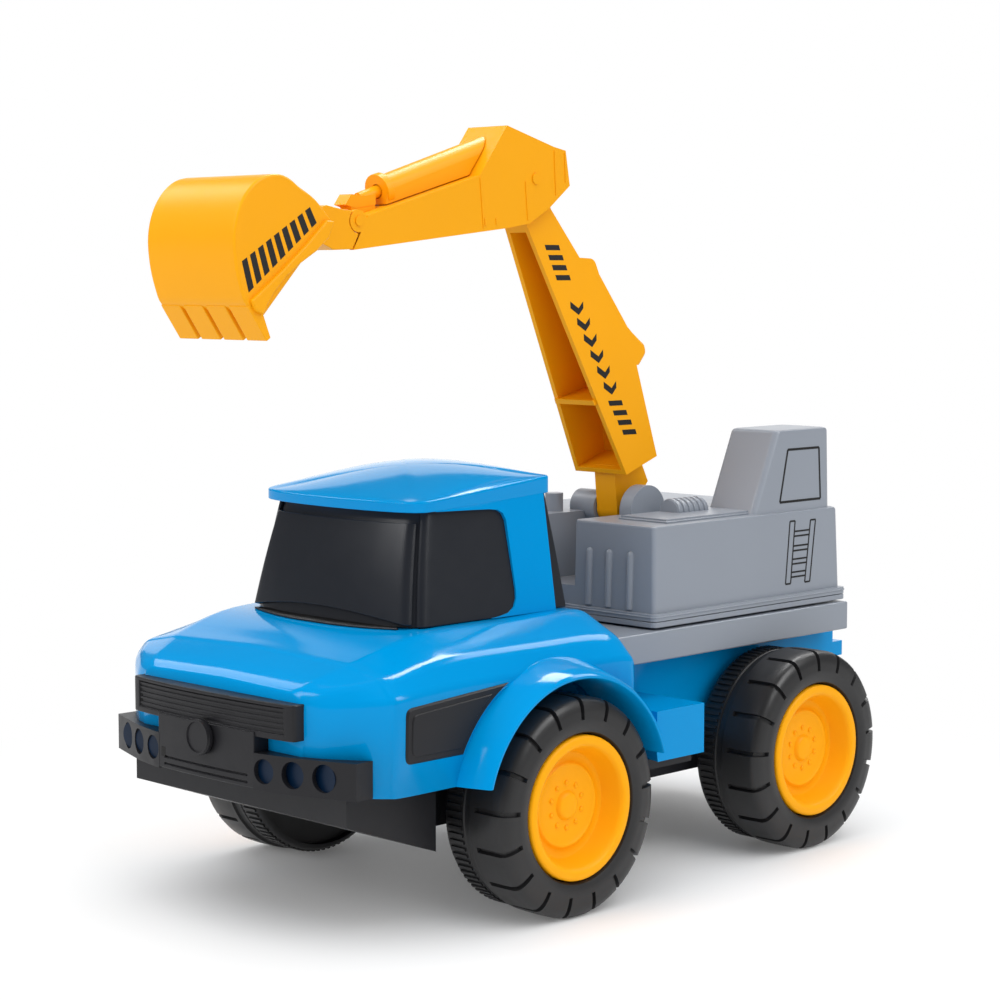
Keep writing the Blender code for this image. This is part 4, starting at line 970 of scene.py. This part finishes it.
def tyre_marks():
    """Angles round a tyre, each with whether it lies in a slot; one lug is centred on the ground."""
    pitch = 360.0 / LUGS
    inner = LUG_HALF_DEG + SLOT_EDGE_DEG
    steps = [(LUG_HALF_DEG * share, 0) for share in LUG_SHARES]
    steps += [(inner, 1), (pitch - inner, 1)]
    made = []
    for lug in range(LUGS):
        made += [(math.radians(DOWN_DEG + pitch * lug + step), slot) for step, slot in steps]
    return made


def tyre(end, hand, axle, face_x, side):
    angles = tyre_marks()
    points = []
    for inward, radius, slot_in, slot_down in TYRE_PROFILE:
        for angle, slot in angles:
            x = side * (face_x - inward - slot_in * slot)
            points.append((x, *spoke(axle, radius + slot_down * slot, angle)))
    count = len(angles)
    faces = ring_faces(len(TYRE_PROFILE), count, True) + closing_faces(len(TYRE_PROFILE), count)
    made = piece(f"tyre_{end}_{hand}", points, faces, "tyre", f"{end}_wheels", TYRE_DEG)
    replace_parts(made, f"{end}_{hand}_tyre")
    tread_band(end, hand, axle, face_x, side)


def tread_band(end, hand, axle, face_x, side):
    """The fine ribs round the inner half of a tyre."""
    ring = []
    for k in range(BAND_RIBS):
        for share, raised in BAND_SHARES:
            ring.append(spoke(axle, BAND_R[raised], 2.0 * math.pi * (k + share) / BAND_RIBS))
    sections = along_x(ring, [side * (face_x - inward) for inward in BAND_ENDS])
    loft(f"tread_band_{end}_{hand}", sections, "tyre", f"{end}_wheels")


def rim(end, hand, axle, face_x, side):
    body = f"{end}_wheels"
    made = turned(f"rim_{end}_{hand}", RIM_PROFILE, axle, face_x, side, RIM_STEPS, "rim", body)
    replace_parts(made, f"{end}_{hand}_rim")
    for k in range(BOLTS):
        centre = spoke(axle, BOLT_RING, 2.0 * math.pi * (k + BOLT_TURN) / BOLTS)
        name = f"bolt_{end}_{hand}_{k}"
        turned(name, BOLT_PROFILE, centre, face_x, side, BOLT_STEPS, "rim", body)


def wheels():
    for wheel in WHEELS:
        tyre(*wheel)
        rim(*wheel)
    for end in ("front", "rear"):
        dress(f"{end}_axle", "steel")
        for hand in ("left", "right"):
            dress(f"{end}_{hand}_back", "tyre", BACK_ROUND)


def bucket():
    body = "bucket_body"
    outer = spline(BUCKET_OUTER, CURVE_STEPS)
    inner = spline(BUCKET_INNER, CURVE_STEPS) + list(BUCKET_MOUTH)
    shell = loft("bucket_skin", along_x(outer, both(BUCKET_X)), "yellow", body)
    space = along_x(inner, both(BUCKET_X - BUCKET_WALL))
    subtract(shell, loft("bucket_space", space, "yellow", body))
    soften(shell, BUCKET_ROUND)
    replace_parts(shell, "bucket")
    width = (2.0 * BUCKET_X - (TEETH - 1) * TOOTH_GAP) / TEETH
    for k in range(TEETH):
        low = -BUCKET_X + k * (width + TOOTH_GAP)
        prism(f"tooth_{k}", TOOTH, (low, low + width), "yellow", body, TOOTH_ROUND)
    for side in (1, -1):
        ends = [side * x for x in LIP_X]
        prism(f"bucket_lip_{side}", LIP, ends, "yellow", body, LIP_ROUND)
    prism("bucket_neck", NECK, both(NECK_X), "yellow", body, THIN_ROUND)
    tongue_end = disc(BUCKET_PIVOT, TONGUE_R, TONGUE_STEPS)
    tongue = loft("bucket_tongue", along_x(TONGUE, both(TONGUE_X)), "yellow", body)
    end = loft("bucket_tongue_end", along_x(tongue_end, both(TONGUE_X)), "yellow", body)
    hole = disc(BUCKET_PIVOT, BUCKET_PIN_CLEAR, BORE_STEPS)
    bore = loft("bucket_bore", along_x(hole, both(NECK_X)), "yellow", body)
    subtract(tongue, bore)
    subtract(end, bore)


def boom_half(y, z):
    """Half the boom's width at a place."""
    (y0, z0), (y1, z1) = BOOM_AXIS
    along = (y - y0) * (y1 - y0) + (z - z0) * (z1 - z0)
    share = along / ((y1 - y0) ** 2 + (z1 - z0) ** 2)
    return between(BOOM_HALF_LOW, BOOM_HALF_HIGH, share)


def slope_x(ends):
    """X of a leaning side at a height."""
    (z0, x0), (z1, x1) = ends
    return lambda y, z: between(x0, x1, (z - z0) / (z1 - z0))


def level_x(x):
    return lambda y, z: x


def marks(name, shapes, surface, side, body, skin="ink", height=LIFT):
    """Flat marks on a side of the truck, given as outlines in Y and Z."""
    points, faces = [], []
    for shape in shapes:
        count, first = len(shape), len(points)
        for lift in (-LIFT, height):
            points += [(side * (surface(y, z) + lift), y, z) for y, z in shape]
        faces.append(tuple(range(first, first + count)))
        faces.append(tuple(range(first + count, first + 2 * count)))
        for i in range(count):
            j = (i + 1) % count
            faces.append((first + i, first + j, first + count + j, first + count + i))
    return piece(name, points, faces, skin, body)


def line_shape(start, end, width):
    """A straight stroke as an outline."""
    length = math.dist(start, end)
    across = (-(end[1] - start[1]) / length * width / 2, (end[0] - start[0]) / length * width / 2)
    return [
        (start[0] + across[0], start[1] + across[1]), (end[0] + across[0], end[1] + across[1]),
        (end[0] - across[0], end[1] - across[1]), (start[0] - across[0], start[1] - across[1]),
    ]


def bar_shapes(first, last):
    long, tall = BAR_SIZE
    shapes = []
    for k in range(BAR_COUNT):
        y, z = spot_between(first, last, k / (BAR_COUNT - 1))
        low = z - tall
        shapes.append([(y, z), (y + long, z), (y + long + BAR_LEAN, low), (y + BAR_LEAN, low)])
    return shapes


def chevron_shapes():
    wide, tall = CHEVRON_SIZE
    shapes = []
    for k in range(CHEVRONS):
        y, z = spot_between(CHEVRON_FROM, CHEVRON_TO, k / (CHEVRONS - 1))
        middle = y + wide / 2 + CHEVRON_SHIFT
        low = z - tall
        shapes.append([(y, z), (middle, low), (middle, low - tall), (y, low)])
        shapes.append([(middle, low), (y + wide, z), (y + wide, low), (middle, low - tall)])
    return shapes


def boom_marks():
    for side in (1, -1):
        shapes = bar_shapes(*BAR_LOW) + bar_shapes(*BAR_HIGH) + chevron_shapes()
        marks(f"boom_marks_{side}", shapes, boom_half, side, "boom_arm")


def rod_foot():
    """The block that carries the imitation rod's end on the stick."""
    prism("rod_foot", ROD_FOOT, both(ROD_FOOT_X), "yellow", "stick_arm", THIN_ROUND)


def stick_marks():
    body = "stick_arm"
    for side in (1, -1):
        shapes = [line_shape(*line) for line in STICK_LINES]
        surface = level_x(STICK_X)
        marks(f"stick_ridges_{side}", shapes, surface, side, body, "yellow", STICK_RIDGE_H)
        name = f"stick_boss_{side}"
        turned(name, STICK_BOSS, STICK_PIVOT, STICK_X, side, BOSS_STEPS, "yellow", body)


def bucket_marks():
    shapes = []
    for k in range(STRIPES):
        start, end = k / STRIPES, (k + STRIPE_SHARE) / STRIPES
        top = [spot_between(*STRIPE_TOP, share) for share in (start, end)]
        low = [spot_between(*STRIPE_LOW, share) for share in (end, start)]
        shapes.append(top + low)
    for side in (1, -1):
        marks(f"bucket_stripes_{side}", shapes, level_x(BUCKET_X), side, "bucket_body")


def ladder_shapes():
    shapes = []
    for foot, head in LADDER_RAILS:
        for shift in (0.0, LADDER_W):
            shapes.append(line_shape((foot[0] + shift, foot[1]), (head[0] + shift, head[1]), INK_W))
        for y, z in (foot, head):
            shapes.append(line_shape((y, z), (y + LADDER_W, z), INK_W))
    (foot, head), (foot2, head2) = LADDER_RAILS
    for z in LADDER_RUNGS:
        for height in (z - RUNG_HALF, z + RUNG_HALF):
            share = (height - foot[1]) / (head[1] - foot[1])
            left = between(foot[0], head[0], share) + LADDER_W
            right = between(foot2[0], head2[0], share)
            shapes.append(line_shape((left, height), (right, height), INK_W))
    return shapes


def turret_marks():
    marks("ladder_mark", ladder_shapes(), slope_x(HOUSING_SIDE), 1, "turret")
    sides = zip(SEAT_WINDOW, SEAT_WINDOW[1:] + SEAT_WINDOW[:1])
    window = [line_shape(start, end, SEAT_INK_W) for start, end in sides]
    marks("seat_window_mark", window, slope_x(OPCAB_SIDE), 1, "turret")


def turret_details():
    front = slope_x(HOUSING_FRONT)
    for side in (1, -1):
        for k, x in enumerate(FRONT_RIB_X):
            line = [(side * x, front(0.0, z), z) for z, r in FRONT_RIB]
            tube(f"front_rib_{side}_{k}", line, [r for z, r in FRONT_RIB], "grey", "turret")
    ring = circle(DRUM_R, DRUM_STEPS)
    for k, y in enumerate(DRUM_RIBS):
        ends = (y, y + DRUM_RIB_W)
        sections = [[(DRUM_X + a, end, DRUM_Z + b) for a, b in ring] for end in ends]
        soften(loft(f"drum_rib_{k}", sections, "grey", "turret"), DRUM_ROUND)
    upright("pad_step", rectangle(*PAD_EDGE), PAD_Z, "grey", "turret", PAD_ROUND)
    upright("flange_ridge", flange_plan(), FLANGE_RIB_Z, "grey", "turret", FLANGE_RIB_ROUND)


def flange_plan():
    """The turret foot's outline, with round corners."""
    half_x, half_y = FLANGE_HALF
    made = []
    for quarter, (sx, sy) in enumerate(((1, 1), (-1, 1), (-1, -1), (1, -1))):
        for k in range(FLANGE_STEPS + 1):
            angle = math.pi / 2.0 * (quarter + k / FLANGE_STEPS)
            x = sx * (half_x - FLANGE_ROUND) + FLANGE_ROUND * math.cos(angle)
            y = sy * (half_y - FLANGE_ROUND) + FLANGE_ROUND * math.sin(angle)
            made.append((x, SWIVEL_Y + y))
    return made


def vent_outline(inset):
    """A side vent's edge in Y and Z; its rear edge follows the wheel flare."""
    (y0, z0), (y1, z1) = VENT_LEFT
    low, high = z0 + inset, z1 - inset
    r = VENT_ARC_R + inset
    tilt = math.atan(VENT_TOP_SLOPE)
    over_axle = high + VENT_TOP_SLOPE * (FRONT_AXLE[0] - y1) - FRONT_AXLE[1]
    start = math.pi + tilt - math.asin(over_axle * math.cos(tilt) / r)
    end = math.pi - math.asin((low - FRONT_AXLE[1]) / r)
    top = high + VENT_TOP_SLOPE * (VENT_MIDDLE_Y - y1)
    path = [(VENT_MIDDLE_Y, low), (y0 + inset, low), (y1 + inset, high), (VENT_MIDDLE_Y, top)]
    ring = rounded(path, (VENT_ROUND, VENT_ROUND), VENT_ROUND_STEPS)[1:-1]
    for k in range(VENT_ARC_STEPS + 1):
        ring.append(spoke(FRONT_AXLE, r, between(start, end, k / VENT_ARC_STEPS)))
    return ring


def vent_plate(name, side, inset, rise, edge):
    """A flat plate of a side vent with a slanted edge."""
    out = BODY_SIDE_X + rise
    rings = ((BODY_SIDE_X - VENT_SINK, inset), (out - edge, inset), (out, inset + edge))
    sections = [[(side * x, y, z) for y, z in vent_outline(shift)] for x, shift in rings]
    return loft(name, sections, "black", "chassis", VENT_DEG)


def side_vents():
    low, high = VENT_RISE
    for side, hand in ((1, "left"), (-1, "right")):
        frame = vent_plate(f"vent_frame_{hand}", side, 0.0, low, VENT_FRAME_EDGE)
        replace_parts(frame, f"side_vent_{hand}")
        vent_plate(f"vent_panel_{hand}", side, VENT_INSET, high, VENT_PANEL_EDGE)


def trim_plan(line):
    """The outline of a front piece, from its front line and the trim's flat back."""
    return line + [(line[-1][0], GRILLE_BACK), (line[0][0], GRILLE_BACK)]


def band(line, out, back):
    """The outline of a band along a line of the front trim."""
    return [(x, y - out) for x, y in line] + [(x, y + back) for x, y in reversed(line)]


def front_trim():
    line = whole_line(GRILLE_LINE)
    grille = upright("grille_bar", trim_plan(line), GRILLE_Z, "black")
    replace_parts(grille, "front_grille")
    inner = [(x, y) for x, y in spline(line, GRILLE_STEPS) if abs(x) < GRILLE_RECESS_X]
    recess = band(inner, GRILLE_RECESS_OUT, GRILLE_RECESS_IN)
    subtract(grille, upright("grille_space", recess, GRILLE_RECESS_Z, "black"))
    soften(grille, GRILLE_ROUND)
    plan = band(inner, GRILLE_BAR_PROUD, GRILLE_BAR_IN)
    for k, z in enumerate(GRILLE_BARS):
        heights = (z, z + GRILLE_BAR_H)
        upright(f"grille_line_{k}", plan, heights, "black", "chassis", GRILLE_BAR_ROUND)
    centre_panel()
    for side in (1, -1):
        bumper_wing(side)
    half_x, half_y, half_z = CLIP_HALF
    for k, (x, y, z) in enumerate(CLIPS):
        plan = rectangle(x - half_x, x + half_x, y - half_y, y + half_y)
        upright(f"trim_clip_{k}", plan, (z - half_z, z + half_z), "ink")
    badge_ring()


def centre_panel():
    line = whole_line(CENTRE_LINE)
    panel = upright("centre_panel", trim_plan(line), CENTRE_Z, "black")
    inner = [(x, y) for x, y in spline(line, CENTRE_STEPS) if abs(x) < GROOVE_HALF]
    ring = band(inner, GROOVE_OUT, GROOVE_IN)
    for k, z in enumerate(GROOVES):
        heights = (z, z + GROOVE_H)
        subtract(panel, upright(f"groove_space_{k}", ring, heights, "black"))
    soften(panel, CENTRE_ROUND)


def bumper_wing(side):
    plan = [(side * x, y) for x, y in WING_FRONT + WING_BACK]
    wing = upright(f"bumper_wing_{side}", plan, WING_Z, "black")
    for k, lamp in enumerate(LAMPS):
        subtract(wing, lamp_rod(f"lamp_space_{side}_{k}", side, lamp, LAMP_REACH, "black"))
        # A dark disc deep in each lamp hole paints the shade inside it
        back = lamp_y(lamp[0]) + LAMP_DEPTH
        lamp_rod(f"lamp_hole_shade_disc_{side}_{k}", side, lamp, (back, back + LAMP_SHADE_DISC_T), "lens")
    soften(wing, WING_ROUND)


def lamp_y(x):
    """Y of the bumper's face at a lamp."""
    return LAMP_FACE_Y + (x - LAMPS[0][0]) * LAMP_FACE_SLOPE


def lamp_rod(name, side, lamp, reach, skin):
    """A round rod through the bumper that looks a little outward."""
    x, turn_deg, radius = lamp
    turn = math.tan(math.radians(turn_deg))
    ring = circle(radius, LAMP_STEPS)
    sections = []
    for y in reach:
        middle = x + (lamp_y(x) - y) * turn
        sections.append([(side * (middle + a), y, LAMP_Z + b) for a, b in ring])
    return loft(name, sections, skin)


def badge_ring():
    low, high = BADGE_R
    front = BADGE_Y - BADGE_RISE
    rings = (
        (high, BADGE_Y), (high - BADGE_EDGE, front), (low + BADGE_EDGE, front), (low, BADGE_Y),
    )
    points = [(a, y, BADGE_Z + b) for r, y in rings for a, b in circle(r, BADGE_STEPS)]
    faces = ring_faces(len(rings), BADGE_STEPS, True) + closing_faces(len(rings), BADGE_STEPS)
    piece("badge_ring", points, faces, "black")


def dress_nodes():
    for skin, width, *nodes in NODE_LOOKS:
        for node in nodes:
            dress(node, skin, width)


def switch(tree, share, first, second):
    """A shader that goes from the first to the second as the share goes from 0 to 1."""
    mix = tree.nodes.new("ShaderNodeMixShader")
    tree.links.new(share, mix.inputs["Fac"])
    tree.links.new(first, mix.inputs[1])
    tree.links.new(second, mix.inputs[2])
    return mix.outputs["Shader"]


def floor_material():
    """A pale floor that keeps the shadow and fades to white round it."""
    made, tree, shader = new_material("pale_floor")
    put(shader, {"Roughness": FLOOR_ROUGHNESS, "Specular IOR Level": FLOOR_SHINE})
    shade(tree, shader, FLOOR, FLOOR_SPAN, FLOOR_NOISE)
    coords = tree.nodes.new("ShaderNodeTexCoord")
    reach = tree.nodes.new("ShaderNodeVectorMath")
    reach.operation = "LENGTH"
    tree.links.new(coords.outputs["Object"], reach.inputs[0])
    fade = tree.nodes.new("ShaderNodeMapRange")
    fade.interpolation_type = "SMOOTHSTEP"
    put(fade, FLOOR_FADE)
    tree.links.new(reach.outputs["Value"], fade.inputs["Value"])
    white = tree.nodes.new("ShaderNodeEmission").outputs["Emission"]
    shown = switch(tree, fade.outputs["Result"], shader.outputs["BSDF"], white)
    tree.links.new(shown, tree.nodes["Material Output"].inputs["Surface"])
    return made


def stage():
    half = FLOOR_HALF
    data = bpy.data.meshes.new("floor")
    corners = [(x, y, 0.0) for x, y in rectangle(-half, half, -half, half)]
    data.from_pydata(corners, [], [(0, 1, 2, 3)])
    data.materials.append(floor_material())
    show("floor", data)


def world():
    """Even light all round, less of it in glossy surfaces, and white where the camera sees it."""
    made = bpy.data.worlds.new("studio")
    made.use_nodes = True
    bpy.context.scene.world = made
    tree = made.node_tree
    light = tree.nodes["Background"]
    sheen = tree.nodes.new("ShaderNodeBackground")
    white = tree.nodes.new("ShaderNodeBackground")
    for node, strength in ((light, WORLD_LIGHT), (sheen, WORLD_SHEEN), (white, WORLD_SEEN)):
        put(node, {"Color": WHITE, "Strength": strength})
    path = tree.nodes.new("ShaderNodeLightPath")
    glossy, seen = path.outputs["Is Glossy Ray"], path.outputs["Is Camera Ray"]
    dull = switch(tree, glossy, light.outputs["Background"], sheen.outputs["Background"])
    shown = switch(tree, seen, dull, white.outputs["Background"])
    tree.links.new(shown, tree.nodes["World Output"].inputs["Surface"])


def place(name, data, spot, direction):
    """A lamp or camera at a spot, looking in a direction."""
    made = show(name, data)
    made.location = spot
    made.rotation_mode = "QUATERNION"
    made.rotation_quaternion = direction.to_track_quat("-Z", "Y")
    return made


def sheen_box(name, spot, size, energy):
    """A light seen in glossy surfaces."""
    lamp = bpy.data.lights.new(name, "AREA")
    lamp.shape = "RECTANGLE"
    lamp.size, lamp.size_y = size
    lamp.energy = energy
    place(name, lamp, spot, Vector(SHEEN_AIM) - Vector(spot)).visible_diffuse = False


def wide_light(name, spot, angle_deg, strength):
    """An even light from one side that doesn't fade over the floor."""
    lamp = bpy.data.lights.new(name, "SUN")
    lamp.angle = math.radians(angle_deg)
    lamp.energy = strength
    place(name, lamp, spot, -Vector(spot)).visible_glossy = False


def lights():
    for light in WIDE_LIGHTS:
        wide_light(*light)
    for light in SHEEN_BOXES:
        sheen_box(*light)


def camera():
    lens = bpy.data.cameras.new("photo_camera")
    lens.sensor_width = SENSOR
    lens.lens = CAMERA_LENS
    lens.clip_start, lens.clip_end = CAMERA_CLIP
    turn, rise = math.radians(CAMERA_AZIMUTH_DEG), math.radians(CAMERA_ELEVATION_DEG)
    level = math.cos(rise)
    back = Vector((math.sin(turn) * level, -math.cos(turn) * level, math.sin(rise)))
    bpy.context.scene.camera = place("photo_camera", lens, at(*CAMERA_AT), -back)


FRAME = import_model()
bpy.context.scene.view_settings.view_transform = "Standard"
SKINS = {skin: plastic(*finish) for skin, finish in FINISHES.items()}
dress_nodes()
body_shell()
body_back()
roof()
windows()
rear_window()
wheels()
bucket()
boom_marks()
stick_marks()
rod_foot()
bucket_marks()
turret_marks()
turret_details()
front_trim()
side_vents()
stage()
world()
lights()
camera()
